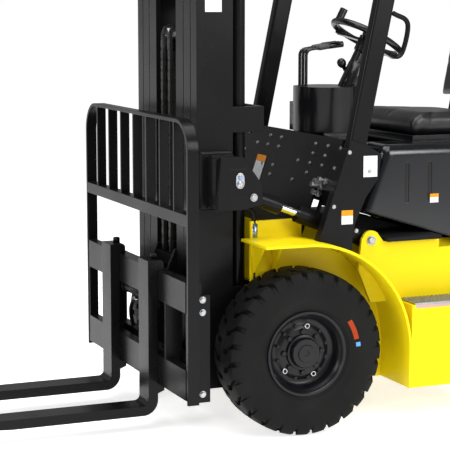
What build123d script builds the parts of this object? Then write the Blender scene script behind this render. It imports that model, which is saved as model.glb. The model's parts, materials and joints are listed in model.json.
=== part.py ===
from build123d import *
from math import cos, hypot, pi, radians, sin
import os

os.makedirs("parts", exist_ok=True)

# Counterbalance forklift with a three-stage mast, in millimetres.
# The truck faces -Y, its left side is +X and the ground is at z = 0.
# Lengths along the truck are measured back from the front axle.

# Whole truck
wheelbase = 1400.0
rear_overhang = 400.0
body_half_width = 535.0
ground_clearance = 138.0
moving_gap = 6.0
seat_gap = 0.3
pin_play = 0.06

# Forks and the hook bars that carry them
fork_length = 920.0
fork_width = 100.0
fork_thickness = 35.0
fork_heel_radius = 55.0
fork_underside = 60.0
fork_top = 615.0
fork_centre = 206.0
fork_tip_thickness = 12.0
fork_taper_length = 420.0
hook_bar_top = 580.0
hook_bar_span = 407.0
hook_bar_height = 105.0
hook_bar_half_width = 525.0
shifter_face = 458.0
shifter_bar_depth = 36.0
carriage_bar_face = 396.0
carriage_bar_depth = 36.0
carriage_bar_height = 90.0
carriage_bar_half_width = 430.0
carriage_bar_drop = 25.0

# Mast nest
mast_half_width = 300.0
rail_front = 326.0
rail_depth = 137.0
rail_flange_thickness = 18.0
rail_web = 11.0
outer_flange = 55.0
middle_flange = 63.0
inner_flange = 71.0
rail_gap = 5.0
roller_play = 0.5
roller_shaft_radius = 20.0
mast_bottom = 147.0
mast_top = 1960.0
mast_head = 1995.0
tie_bar_height = 90.0
tie_bar_thickness = 18.0

# Lift cylinders and chains
side_barrel_radius = 25.0
side_barrel_x = 240.0
side_barrel_behind = -145.0
side_rod_radius = 16.0
side_barrel_top = 1790.0
free_barrel_radius = 30.0
free_barrel_behind = -240.0
free_rod_radius = 18.0
free_barrel_top = 1300.0
lift_chain_x = 36.0
lift_chain_front = -322.0
lift_wheel_radius = 28.0
stage_chain_x = 120.0
stage_chain_front = -174.0
stage_wheel_radius = 35.0
chain_width = 18.0
chain_depth = 16.0
chain_pitch = 19.05
chain_notch = 3.5
lift_head_height = 1400.0
stage_wheel_height = 1790.0

# Tilt cylinders
tilt_x = 362.0
tilt_eye_behind = -150.0
tilt_eye_height = 842.0
tilt_pin_behind = 300.0
tilt_pin_height = 665.0
tilt_barrel_radius = 32.0
tilt_rod_radius = 14.0
tilt_neck_radius = 23.0
tilt_pin_radius = 13.0
tilt_neck_length = 122.0
tilt_rod_shown = 72.0
tilt_eye_play = 1.6

# Wheels
front_tyre_radius = 295.0
front_tyre_width = 176.0
front_half_tread = 445.0
front_rim_radius = 151.0
rear_tyre_radius = 232.0
rear_tyre_width = 130.0
rear_half_tread = 460.0
rear_rim_radius = 118.0
lug_depth = 14.0
lug_gap_depth = 11.2
front_lugs = 28
rear_lugs = 26

# Axles
axle_tube_radius = 55.0
axle_flange_radius = 72.0
hub_radius = 95.0
king_pin_x = 350.0
king_pin_radius = 16.0
steer_beam_depth = 170.0
steer_beam_height = 150.0

# Body
side_plate_x = 308.0
side_plate_thickness = 12.0
fender_height = 685.0
fender_front = -165.0
fender_radius = 410.0
fender_thickness = 10.0
step_height = 440.0
step_depth = 115.0
step_front = 420.0
step_back = 800.0
upper_side_top = 660.0
floor_height = 674.0
floor_half_width = 448.0
toe_board_behind = 130.0
toe_board_foot = 352.0
toe_board_height = 772.0
toe_board_half_width = 300.0
cowl_half_width = 458.0
cowl_plate = 8.0
cowl_foot_behind = 75.0
cowl_head_behind = 195.0
cowl_head = 1030.0
counterweight_front = 1092.0
frame_back = counterweight_front - seat_gap
counterweight_top = 1010.0
counterweight_bottom = 190.0
counterweight_half_width = 528.0
lifting_hole_x = 200.0
lifting_hole_behind = 1560.0
lifting_hole_radius = 16.0
lifting_hole_depth = 90.0
hood_half_width = 362.0
hood_front = 292.0
hood_mid_front = 552.0
hood_mid_half_width = 200.0
hood_back = 1078.0
hood_seat_height = 625.0
hood_front_bottom = 768.0
hood_fall_end = 745.0
hood_top = 1000.0
hood_wall = 6.0
hood_round = 38.0
hood_hinge_behind = 1084.0
hood_hinge_height = 1008.0

# Overhead guard
guard_x = 425.0
guard_foot_behind = 165.0
guard_lean = 0.207
guard_top = 2070.0
guard_section_depth = 70.0
guard_section_width = 44.0
guard_back = 1300.0
guard_bars = 7
lamp_height = 1850.0

# Driver's place
wheel_centre_behind = 494.0
wheel_centre_height = 1378.0
wheel_tilt = 28.0
wheel_rim_radius = 138.0
wheel_rim_thickness = 13.0
column_radius = 22.0
seat_half_width = 240.0
seat_front = 556.0
seat_back = 990.0
seat_cushion_thickness = 88.0

# Derived places
hook_bar_bottom = hook_bar_top - hook_bar_span
fork_reach = shifter_face + fork_thickness + fork_length
overall_length = fork_reach + wheelbase + rear_overhang
axle_y = fork_reach - overall_length / 2
rail_back = rail_front - rail_depth
rail_middle = rail_front - rail_depth / 2
roller_radius = rail_depth / 2 - rail_flange_thickness - roller_play
outer_inside = mast_half_width - outer_flange
middle_outside = outer_inside - rail_gap
middle_inside = middle_outside - middle_flange
inner_outside = middle_inside - rail_gap
inner_inside = inner_outside - inner_flange


def side_plane(x):
    """Plane across the truck: local x runs back from the front axle, local y is the height."""
    return Plane(origin=(x, axle_y, 0), x_dir=(0, 1, 0), z_dir=(1, 0, 0))


def plan_plane(height):
    """Level plane: local x is the truck's left, local y runs back from the front axle."""
    return Plane(origin=(0, axle_y, height), x_dir=(1, 0, 0), z_dir=(0, 0, 1))


def front_plane(behind):
    """Upright plane that faces forwards: local x is the truck's left, local y is the height."""
    return Plane(origin=(0, axle_y + behind, 0), x_dir=(1, 0, 0), z_dir=(0, -1, 0))


def plate(plane, points, thickness, mode=Mode.ADD):
    """Extrude a closed outline of straight edges."""
    with BuildSketch(plane) as outline:
        with BuildLine():
            Polyline(*points, close=True)
        make_face()
    extrude(outline.sketch, amount=thickness, mode=mode)


def block(plane, low, high, thickness, mode=Mode.ADD):
    """Extrude a rectangle given by two opposite corners."""
    plate(plane, [low, (high[0], low[1]), high, (low[0], high[1])], thickness, mode)


def rod(plane, centre, radius, length, mode=Mode.ADD):
    """Extrude a circle."""
    with BuildSketch(plane) as outline:
        with Locations(centre):
            Circle(radius)
    extrude(outline.sketch, amount=length, mode=mode)


def between(start, end):
    """Plane at one (x, behind, height) point whose normal points at another one."""
    a = Vector(start[0], axle_y + start[1], start[2])
    b = Vector(end[0], axle_y + end[1], end[2])
    return Plane(origin=a, x_dir=(1, 0, 0), z_dir=(b - a).normalized())


def write(part, name):
    """Label one sub-part and write its STEP file."""
    part.label = name
    export_step(part, f"parts/{name}.step")


# Wheels: the profile is drawn with local x along the axle and revolved about it
def wheel_plane(x, behind, height):
    return Plane(origin=(x, axle_y + behind, height), x_dir=(1, 0, 0), z_dir=(0, 0, 1))


def lug_gaps(plane, radius, half, count):
    """Cut the gaps between the lugs; the two rows are half a pitch apart."""
    pitch = 2 * pi * radius / count
    gap = 0.36 * pitch
    slant = 0.45 * pitch
    for side in (-1, 1):
        outline = [
            (side * 0.16 * half, -gap / 2 - slant),
            (side * (half + 4), -gap / 2),
            (side * (half + 4), gap / 2),
            (side * 0.16 * half, gap / 2 - slant),
        ]
        with BuildPart(mode=Mode.PRIVATE) as cutter:
            with BuildSketch(
                Plane(origin=(radius - lug_gap_depth, 0, 0), x_dir=(0, 0, 1), z_dir=(1, 0, 0))
            ) as section:
                with BuildLine():
                    Polyline(*outline, close=True)
                make_face()
            extrude(section.sketch, amount=lug_depth + 4)
        with Locations(Plane(origin=plane.origin, x_dir=(0, 1, 0), z_dir=(1, 0, 0))):
            with PolarLocations(0, count, start_angle=(side + 1) * 90 / count):
                add(cutter.part, mode=Mode.SUBTRACT)


def tyre(x, behind, radius, width, rim_radius, lugs):
    plane = wheel_plane(x, behind, radius)
    half = width / 2
    bead = rim_radius - 12
    tread = half * 0.86
    with BuildPart() as carcass:
        with BuildSketch(plane):
            with BuildLine():
                Line((-half * 0.72, bead), (half * 0.72, bead))
                Spline(
                    (half * 0.72, bead), (half, bead + 0.45 * (radius - bead)), (tread, radius - lug_depth)
                )
                Line((tread, radius - lug_depth), (half * 0.8, radius))
                Line((half * 0.8, radius), (-half * 0.8, radius))
                Line((-half * 0.8, radius), (-tread, radius - lug_depth))
                Spline(
                    (-tread, radius - lug_depth),
                    (-half, bead + 0.45 * (radius - bead)),
                    (-half * 0.72, bead)
                )
            make_face()
        revolve(axis=Axis(plane.origin, (1, 0, 0)))
        lug_gaps(plane, radius, half, lugs)
    return carcass.part


def rim(x, behind, height, rim_radius, width, side, hub, dish):
    """Two-piece rim: barrel, flanges and a dished disc that bolts to the hub."""
    plane = wheel_plane(x, behind, height)
    seat = rim_radius - 12 - seat_gap
    half = width * 0.36
    out = side
    with BuildPart() as wheel:
        with BuildSketch(plane):
            with BuildLine():
                Polyline(
                    (-out * half, seat - 14),
                    (-out * half, seat),
                    (out * half, seat),
                    (out * half, seat - 14),
                    (out * (dish + 10), seat - 14),
                    (out * dish, hub + 16),
                    (out * dish, hub * 0.5),
                    (out * (dish - 10), hub * 0.5),
                    (out * (dish - 10), hub + 16),
                    (out * (dish - 4), seat - 14),
                    close=True,
                )
            make_face()
        revolve(axis=Axis(plane.origin, (1, 0, 0)))
    return wheel.part


front_dish = 24.0
rear_dish = 22.0
for side, label in ((1, "left"), (-1, "right")):
    write(
        tyre(side * front_half_tread, 0, front_tyre_radius, front_tyre_width, front_rim_radius, front_lugs),
        f"tyre_front_{label}"
    )
    write(
        tyre(
            side * rear_half_tread, wheelbase, rear_tyre_radius, rear_tyre_width, rear_rim_radius, rear_lugs
        ),
        f"tyre_rear_{label}"
    )
    front_rim = rim(
        side * front_half_tread,
        0,
        front_tyre_radius,
        front_rim_radius,
        front_tyre_width,
        side,
        hub_radius,
        front_dish
    )
    write(front_rim, f"rim_front_{label}")
    rear_rim = rim(
        side * rear_half_tread,
        wheelbase,
        rear_tyre_radius,
        rear_rim_radius,
        rear_tyre_width,
        side,
        62,
        rear_dish
    )
    write(rear_rim, f"rim_rear_{label}")

# Drive axle: tube with the centre casing, a flange on each side plate and a hub in each wheel
with BuildPart() as drive_axle:
    rod(side_plane(-side_plate_x), (0, front_tyre_radius), axle_tube_radius, 2 * side_plate_x)
    with BuildSketch(wheel_plane(0, 0, front_tyre_radius)) as casing:
        with BuildLine():
            Polyline((-150, 0), (-150, 60), (-80, 120), (80, 120), (150, 60), (150, 0), close=True)
        make_face()
    revolve(casing.sketch, axis=Axis((0, axle_y, front_tyre_radius), (1, 0, 0)))
    for side in (-1, 1):
        inner_end = side * front_half_tread + side * (front_dish - 10)
        start = side * (side_plate_x - 1)
        plane = Plane(origin=(start, axle_y, front_tyre_radius), x_dir=(0, 1, 0), z_dir=(side, 0, 0))
        rod(plane, (0, 0), axle_flange_radius, abs(inner_end - start) - seat_gap)
        hub_plane = Plane(
            origin=(inner_end - side * seat_gap, axle_y, front_tyre_radius),
            x_dir=(0, 1, 0),
            z_dir=(side, 0, 0)
        )
        rod(hub_plane, (0, 0), hub_radius * 0.5 - seat_gap, 52)
write(drive_axle.part, "drive_axle")

# Steer axle: tapered beam between the king pins, with the saddle that carries the truck
steer_z = rear_tyre_radius
with BuildPart() as steer_axle:
    with BuildSketch(plan_plane(steer_z - steer_beam_height / 2)) as beam:
        with BuildLine():
            Polyline(
                (-king_pin_x, wheelbase - 37),
                (-king_pin_x + 90, wheelbase - steer_beam_depth / 2),
                (king_pin_x - 90, wheelbase - steer_beam_depth / 2),
                (king_pin_x, wheelbase - 37),
                (king_pin_x, wheelbase + 37),
                (king_pin_x - 90, wheelbase + steer_beam_depth / 2),
                (-king_pin_x + 90, wheelbase + steer_beam_depth / 2),
                (-king_pin_x, wheelbase + 37),
                close=True,
            )
        make_face()
        with Locations((-king_pin_x, wheelbase), (king_pin_x, wheelbase)):
            Circle(37)
    extrude(beam.sketch, amount=steer_beam_height)
    # the mouth between the top and bottom plates, with the knuckle's eye in it
    for side in (-1, 1):
        block(
            plan_plane(steer_z - 45),
            (side * (king_pin_x + 60), wheelbase - 120),
            (side * (king_pin_x - 62), wheelbase + 120),
            90,
            Mode.SUBTRACT
        )
        rod(
            plan_plane(steer_z - 100),
            (side * king_pin_x, wheelbase),
            king_pin_radius + pin_play,
            200,
            Mode.SUBTRACT
        )
    block(plan_plane(steer_z + steer_beam_height / 2), (-110, wheelbase - 60), (110, wheelbase + 60), 60)
write(steer_axle.part, "steer_axle")

for side, label in ((1, "left"), (-1, "right")):
    with BuildPart() as knuckle:
        rod(plan_plane(steer_z - 80), (side * king_pin_x, wheelbase), king_pin_radius, 160)
        rod(plan_plane(steer_z - 45 + moving_gap / 2), (side * king_pin_x, wheelbase), 33, 90 - moving_gap)
        spindle_plane = Plane(
            origin=(side * king_pin_x, axle_y + wheelbase, steer_z), x_dir=(0, 1, 0), z_dir=(side, 0, 0)
        )
        rod(spindle_plane, (0, 0), 29, rear_half_tread + rear_dish - 10 - seat_gap - king_pin_x)
        hub_plane = Plane(
            origin=(side * (rear_half_tread + rear_dish - 10 - seat_gap), axle_y + wheelbase, steer_z),
            x_dir=(0, 1, 0),
            z_dir=(side, 0, 0)
        )
        rod(hub_plane, (0, 0), 31 - seat_gap, 30)
    write(knuckle.part, f"knuckle_{label}")


# Mast rails in plan: a channel outside and two I sections nested beside it
def channel(outside, inside, web_side):
    """C rail between two x values; the web is at the outside."""
    return [
        (outside, -rail_front),
        (inside, -rail_front),
        (inside, -rail_front + rail_flange_thickness),
        (web_side, -rail_front + rail_flange_thickness),
        (web_side, -rail_back - rail_flange_thickness),
        (inside, -rail_back - rail_flange_thickness),
        (inside, -rail_back),
        (outside, -rail_back),
    ]


def beam(outside, inside, web_middle):
    """I rail between two x values."""
    front_in = -rail_front + rail_flange_thickness
    back_in = -rail_back - rail_flange_thickness
    low = web_middle - rail_web / 2
    high = web_middle + rail_web / 2
    return [
        (outside, -rail_front),
        (inside, -rail_front),
        (inside, front_in),
        (low, front_in),
        (low, back_in),
        (inside, back_in),
        (inside, -rail_back),
        (outside, -rail_back),
        (outside, back_in),
        (high, back_in),
        (high, front_in),
        (outside, front_in),
    ]


def mirrored(points):
    return [(-x, y) for x, y in points]


def both_sides(points, low, high):
    """One rail on each side of the mast."""
    for outline in (points, mirrored(points)):
        plate(plan_plane(low), outline, high - low)


def roller(side, from_x, to_x, web_x, height):
    """Roller in a rail's channel with its stub shaft out to the web that carries it."""
    low = min(from_x, to_x)
    plane = side_plane(side * low if side > 0 else -max(from_x, to_x))
    rod(plane, (-rail_middle, height), roller_radius, abs(to_x - from_x))
    shaft_low = min(web_x, from_x)
    shaft_high = max(web_x, from_x)
    plane = side_plane(shaft_low if side > 0 else -shaft_high)
    rod(plane, (-rail_middle, height), roller_shaft_radius, shaft_high - shaft_low)


middle_web = (middle_outside + middle_inside) / 2
inner_web = (inner_outside + inner_inside) / 2
outer_roller_height = mast_top - 75
lower_roller_height = mast_bottom + 75
outer_tie_behind = -88.0
middle_tie_behind = -160.0
inner_tie_behind = -rail_back - tie_bar_thickness

# Outer mast: rails, tie bars behind them, axle bearings, tilt brackets and top rollers
with BuildPart() as outer_mast:
    both_sides(channel(mast_half_width, outer_inside, mast_half_width - 12), mast_bottom, mast_top)
    for height in (mast_top - 100, 1060, 420):
        block(
            plan_plane(height),
            (-mast_half_width, outer_tie_behind),
            (mast_half_width, outer_tie_behind + tie_bar_thickness),
            tie_bar_height
        )
        for side in (-1, 1):
            block(
                plan_plane(height),
                (side * (mast_half_width - 28), -rail_back),
                (side * mast_half_width, outer_tie_behind),
                tie_bar_height
            )
    block(plan_plane(mast_bottom), (-mast_half_width, -162), (mast_half_width, -100), 20)
    for x in (-stage_chain_x, stage_chain_x):
        anchor_front = stage_chain_front + 2 * stage_wheel_radius - chain_depth / 2 - 1
        block(plan_plane(1110), (x - 14, anchor_front), (x + 14, outer_tie_behind + 1), 40)
    for side in (-1, 1):
        # bearing arm back to the drive axle
        with BuildSketch(side_plane(min(side * 270, side * mast_half_width))) as arm:
            with BuildLine():
                Polyline(
                    (-rail_back, mast_bottom),
                    (-40, front_tyre_radius - 78),
                    (40, front_tyre_radius - 70),
                    (40, front_tyre_radius + 70),
                    (-60, front_tyre_radius + 78),
                    (-rail_back, front_tyre_radius + 130),
                    close=True
                )
            make_face()
            with Locations((0, front_tyre_radius)):
                Circle(80)
                Circle(axle_tube_radius + pin_play, mode=Mode.SUBTRACT)
        extrude(arm.sketch, amount=30)
        # tilt bracket: two cheeks on the rail's side, round the rod eye
        for low, thick in ((mast_half_width, 28), (tilt_x + 34, 20)):
            with BuildSketch(side_plane(low if side > 0 else -low - thick)) as cheek:
                with BuildLine():
                    Polyline(
                        (-296, 800),
                        (-282, 985),
                        (-200, 985),
                        (tilt_eye_behind + 22, tilt_eye_height + 45),
                        (tilt_eye_behind + 26, tilt_eye_height - 26),
                        (-200, 800),
                        close=True
                    )
                make_face()
            extrude(cheek.sketch, amount=thick)
        block(
            side_plane(mast_half_width if side > 0 else -tilt_x - 34),
            (-294, 806),
            (-220, 980),
            tilt_x + 34 - mast_half_width
        )
        rod(
            side_plane(mast_half_width if side > 0 else -tilt_x - 54),
            (tilt_eye_behind, tilt_eye_height),
            tilt_pin_radius,
            tilt_x + 54 - mast_half_width
        )
        roller(
            side,
            middle_web + rail_web / 2 + 2,
            middle_outside - 2,
            mast_half_width - 12,
            outer_roller_height
        )
write(outer_mast.part, "outer_mast")

# Side lift barrels stand behind the outer rails on feet
with BuildPart() as side_barrels:
    for side in (-1, 1):
        rod(
            plan_plane(mast_bottom + 20 + seat_gap),
            (side * side_barrel_x, side_barrel_behind),
            side_barrel_radius,
            side_barrel_top - mast_bottom - 20
        )
        rod(
            plan_plane(mast_bottom + 60),
            (side * side_barrel_x, side_barrel_behind),
            side_rod_radius + pin_play,
            side_barrel_top,
            Mode.SUBTRACT
        )
write(side_barrels.part, "side_lift_barrels")

# Middle mast: rails, tie bars, guide rollers, chain wheels and the side lift rods' heads
with BuildPart() as middle_mast:
    both_sides(beam(middle_outside, middle_inside, middle_web), mast_bottom + 5, mast_top + 10)
    for height in (mast_top - 80, 1300, 560):
        block(
            plan_plane(height),
            (-208, middle_tie_behind),
            (208, middle_tie_behind + tie_bar_thickness),
            tie_bar_height
        )
        for side in (-1, 1):
            block(
                plan_plane(height),
                (side * middle_inside, -rail_back),
                (side * 208, middle_tie_behind),
                tie_bar_height
            )
    for side in (-1, 1):
        block(
            plan_plane(side_barrel_top + 30),
            (side * middle_inside, -rail_back),
            (side * 262, side_barrel_behind + 25),
            30
        )
        roller(side, outer_inside + 3, mast_half_width - 15, middle_web + rail_web / 2, lower_roller_height)
        roller(
            side,
            middle_web - rail_web / 2 - 30,
            inner_web + rail_web / 2 + 2,
            middle_web - rail_web / 2,
            outer_roller_height + 8
        )
        # ears and pin of the chain wheel
        for ear in (-20, 12):
            block(
                plan_plane(stage_wheel_height - 20),
                (side * stage_chain_x + ear, middle_tie_behind),
                (side * stage_chain_x + ear + 8, middle_tie_behind + 42),
                115
            )
        rod(
            side_plane(side * stage_chain_x - 20),
            (stage_chain_front + stage_wheel_radius, stage_wheel_height),
            12,
            40
        )
        rod(
            side_plane(side * stage_chain_x - 11),
            (stage_chain_front + stage_wheel_radius, stage_wheel_height),
            stage_wheel_radius - chain_depth / 2 - seat_gap,
            22
        )
write(middle_mast.part, "middle_mast")

with BuildPart() as side_rods:
    for side in (-1, 1):
        rod(
            plan_plane(mast_bottom + 70),
            (side * side_barrel_x, side_barrel_behind),
            side_rod_radius,
            side_barrel_top + 30 - mast_bottom - 70
        )
write(side_rods.part, "side_lift_rods")

# Inner mast: rails, tie bars between them and guide rollers
with BuildPart() as inner_mast:
    both_sides(beam(inner_outside, inner_inside, inner_web), mast_bottom + 8, mast_head)
    for height in (mast_head - 100, 1500, 900, mast_bottom + 12):
        block(
            plan_plane(height),
            (-inner_inside - 1, -rail_back - tie_bar_thickness),
            (inner_inside + 1, -rail_back),
            tie_bar_height
        )
    block(
        plan_plane(mast_bottom + 12),
        (-60, free_barrel_behind - 34),
        (60, -rail_back - tie_bar_thickness),
        24
    )
    for side in (-1, 1):
        roller(
            side,
            middle_inside + 3,
            middle_web - rail_web / 2 - 3,
            inner_web + rail_web / 2,
            lower_roller_height + 6
        )
        # anchor of the stage chain behind the rail
        block(
            plan_plane(mast_bottom + 20),
            (side * (stage_chain_x - 14), -rail_back),
            (side * (stage_chain_x + 14), stage_chain_front + chain_depth / 2 + 1),
            40
        )
write(inner_mast.part, "inner_mast")

with BuildPart() as free_barrel:
    rod(
        plan_plane(mast_bottom + 36 + seat_gap),
        (0, free_barrel_behind),
        free_barrel_radius,
        free_barrel_top - mast_bottom - 36
    )
    rod(
        plan_plane(mast_bottom + 80),
        (0, free_barrel_behind),
        free_rod_radius + pin_play,
        free_barrel_top,
        Mode.SUBTRACT
    )
    # clamp that anchors the lifting chains
    block(plan_plane(700), (-52, free_barrel_behind - 40), (52, free_barrel_behind + 28), 40)
    rod(plan_plane(650), (0, free_barrel_behind), free_rod_radius + pin_play, 200, Mode.SUBTRACT)
write(free_barrel.part, "free_lift_barrel")

# Lift head: rod, yoke and two chain wheels
lift_wheel_behind = lift_chain_front + lift_wheel_radius
with BuildPart() as lift_head:
    rod(
        plan_plane(mast_bottom + 90),
        (0, free_barrel_behind),
        free_rod_radius,
        lift_head_height - mast_bottom - 90
    )
    block(
        plan_plane(lift_head_height - 60), (-16, lift_wheel_behind - 22), (16, free_barrel_behind + 24), 80
    )
    rod(side_plane(-60), (lift_wheel_behind, lift_head_height), 12, 120)
    for side in (-1, 1):
        rod(
            side_plane(side * lift_chain_x - 11),
            (lift_wheel_behind, lift_head_height),
            lift_wheel_radius - chain_depth / 2 - seat_gap,
            22
        )
        block(
            plan_plane(lift_head_height - 20),
            (side * 50, lift_wheel_behind - 16),
            (side * 56, lift_wheel_behind + 16),
            40
        )
write(lift_head.part, "lift_head")


# Chain runs between anchor and wheel
def chain_runs(x_places, behind, low, high):
    links = int((high - low) / chain_pitch)
    with BuildPart() as chain:
        for x in x_places:
            with BuildSketch(side_plane(x - chain_width / 2)) as run:
                with Locations((behind, (low + high) / 2)):
                    Rectangle(chain_depth, high - low)
                with Locations(*[(behind + face * chain_depth / 2, low + chain_pitch * (link + 0.5)) for face in (-1, 1) for link in range(links)]):
                    Circle(chain_notch, mode=Mode.SUBTRACT)
            extrude(run.sketch, amount=chain_width)
    return chain.part


stage_xs = (-stage_chain_x, stage_chain_x)
lift_xs = (-lift_chain_x, lift_chain_x)
write(
    chain_runs(stage_xs, stage_chain_front + 2 * stage_wheel_radius, 1150 + seat_gap, stage_wheel_height),
    "stage_chain_rise"
)
write(
    chain_runs(stage_xs, stage_chain_front, mast_bottom + 60 + seat_gap, stage_wheel_height),
    "stage_chain_fall"
)
write(
    chain_runs(lift_xs, lift_chain_front + 2 * lift_wheel_radius, 740 + seat_gap, lift_head_height),
    "lift_chain_rise"
)
write(chain_runs(lift_xs, lift_chain_front, 600 + seat_gap, lift_head_height), "lift_chain_fall")

# Carriage: two bars, side plates with rollers, chain anchor and the shift cylinder's barrel
carriage_low = hook_bar_bottom + carriage_bar_drop
carriage_high = hook_bar_top - carriage_bar_drop
shift_z = (carriage_low + carriage_high) / 2 + 75
with BuildPart() as carriage:
    for low in (carriage_low, carriage_high - carriage_bar_height):
        block(
            plan_plane(low),
            (-carriage_bar_half_width, -carriage_bar_face),
            (carriage_bar_half_width, -carriage_bar_face + carriage_bar_depth),
            carriage_bar_height
        )
    for side in (-1, 1):
        plate(
            side_plane(min(side * 84, side * 97)),
            [
                (-carriage_bar_face + carriage_bar_depth, carriage_low),
                (-carriage_bar_face + carriage_bar_depth, carriage_high),
                (-rail_front - 4, carriage_high + 70),
                (-rail_back - tie_bar_thickness - 8, carriage_high + 70),
                (-rail_back - tie_bar_thickness - 8, carriage_low - 10),
                (-rail_front - 4, carriage_low - 10),
            ],
            13,
        )
        for height in (carriage_low + 44, carriage_high + 10):
            roller(side, inner_inside + 2, inner_web - rail_web / 2 - 3, 96, height)
        plate(
            side_plane(min(side * 430, side * 442)),
            [
                (-carriage_bar_face, carriage_low - 60),
                (-carriage_bar_face, carriage_high - 40),
                (-rail_front - 8, carriage_high - 40),
                (-rail_front - 8, carriage_low - 60)
            ],
            12
        )
    # cross plate that the chains are anchored to
    block(plan_plane(560), (-84, lift_chain_front - 14), (84, lift_chain_front + 14), 40)
    rod(side_plane(-150), (-400, shift_z), 21, 300)
    block(side_plane(-90), (-400, shift_z - 14), (-rail_front - 14, shift_z + 14), 180)
    rod(side_plane(-200), (-400, shift_z), 9 + pin_play, 400, Mode.SUBTRACT)
write(carriage.part, "carriage")

# Side shifter: hook bars, bearings on the carriage bars, end posts and the cylinder's rod
shifter_bar_back = -shifter_face + shifter_bar_depth
with BuildPart() as shifter:
    for low in (hook_bar_bottom, hook_bar_top - hook_bar_height):
        block(
            plan_plane(low),
            (-hook_bar_half_width, -shifter_face),
            (hook_bar_half_width, shifter_bar_back),
            hook_bar_height
        )
    for side in (-1, 1):
        plate(
            side_plane(min(side * 320, side * 336)),
            [
                (shifter_bar_back, hook_bar_bottom),
                (shifter_bar_back, hook_bar_top),
                (-carriage_bar_face - seat_gap, hook_bar_top - 30),
                (-carriage_bar_face - seat_gap, hook_bar_bottom + 30)
            ],
            16
        )
        block(
            side_plane(min(side * 320, side * 336)),
            (-shifter_face, hook_bar_bottom),
            (shifter_bar_back, hook_bar_top),
            16
        )
    rod(side_plane(-322), (-400, shift_z), 9, 644)
write(shifter.part, "side_shifter")


# Load backrest: flat bars with rounded top corners
backrest_half = 550.0
backrest_top = 1126.0
backrest_low_rail = 770.0
backrest_front = -shifter_face
backrest_bar = 12.0
backrest_corner = 110.0
with BuildPart() as backrest:
    with BuildSketch(front_plane(backrest_front + 40)) as frame:
        with BuildLine():
            FilletPolyline(
                (-backrest_half, 160),
                (-backrest_half, backrest_top),
                (backrest_half, backrest_top),
                (backrest_half, 160),
                radius=backrest_corner,
            )
            FilletPolyline(
                (-backrest_half + backrest_bar, 160),
                (-backrest_half + backrest_bar, backrest_top - backrest_bar),
                (backrest_half - backrest_bar, backrest_top - backrest_bar),
                (backrest_half - backrest_bar, 160),
                radius=backrest_corner - backrest_bar,
            )
            Line((-backrest_half, 160), (-backrest_half + backrest_bar, 160))
            Line((backrest_half, 160), (backrest_half - backrest_bar, 160))
        make_face()
    extrude(frame.sketch, amount=40)
    block(
        front_plane(backrest_front + 40),
        (-backrest_half + 1, backrest_low_rail),
        (backrest_half - 1, backrest_low_rail + 40),
        40
    )
    for index in range(7):
        x = -backrest_half + (index + 1) * 2 * backrest_half / 8
        block(
            front_plane(backrest_front + 36), (x - 5, backrest_low_rail + 30), (x + 5, backrest_top - 5), 34
        )
    for side in (-1, 1):
        block(
            front_plane(backrest_front + 36),
            (side * (hook_bar_half_width + seat_gap), hook_bar_bottom),
            (side * (backrest_half - 1), hook_bar_top),
            34
        )
write(backrest.part, "load_backrest")


# Forks: blade, heel and shank in one bent bar with two hooks
def fork(side):
    x = side * fork_centre - fork_width / 2
    back = -shifter_face - seat_gap
    face = back - fork_thickness
    tip = face - fork_length + seat_gap
    with BuildPart() as bar:
        with BuildSketch(side_plane(x)) as outline:
            with BuildLine():
                Polyline(
                    (tip, fork_underside + fork_thickness - fork_tip_thickness),
                    (tip + fork_taper_length, fork_underside),
                    (back, fork_underside),
                    (back, fork_top),
                    (face, fork_top),
                    (face, fork_underside + fork_thickness),
                    (tip, fork_underside + fork_thickness),
                    close=True,
                )
            make_face()
            heel = outline.vertices().sort_by_distance((back, fork_underside))[0]
            fillet(heel, fork_heel_radius)
            crook = outline.vertices().sort_by_distance((face, fork_underside + fork_thickness))[0]
            fillet(crook, fork_heel_radius - fork_thickness)
        extrude(outline.sketch, amount=fork_width)
        # the hooks go over the top bar and under the lower bar
        hook_low = hook_bar_top + seat_gap
        plate(
            side_plane(x),
            [
                (back - 1, hook_low),
                (back + 24, hook_low),
                (back + 24, fork_top - 8),
                (back + 16, fork_top),
                (back - 1, fork_top)
            ],
            fork_width
        )
        hook_high = hook_bar_bottom - seat_gap
        plate(
            side_plane(x),
            [
                (back - 1, hook_high),
                (back + 24, hook_high),
                (back + 24, hook_high - 26),
                (back - 1, hook_high - 36)
            ],
            fork_width
        )
    return bar.part


write(fork(1), "fork_left")
write(fork(-1), "fork_right")

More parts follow.
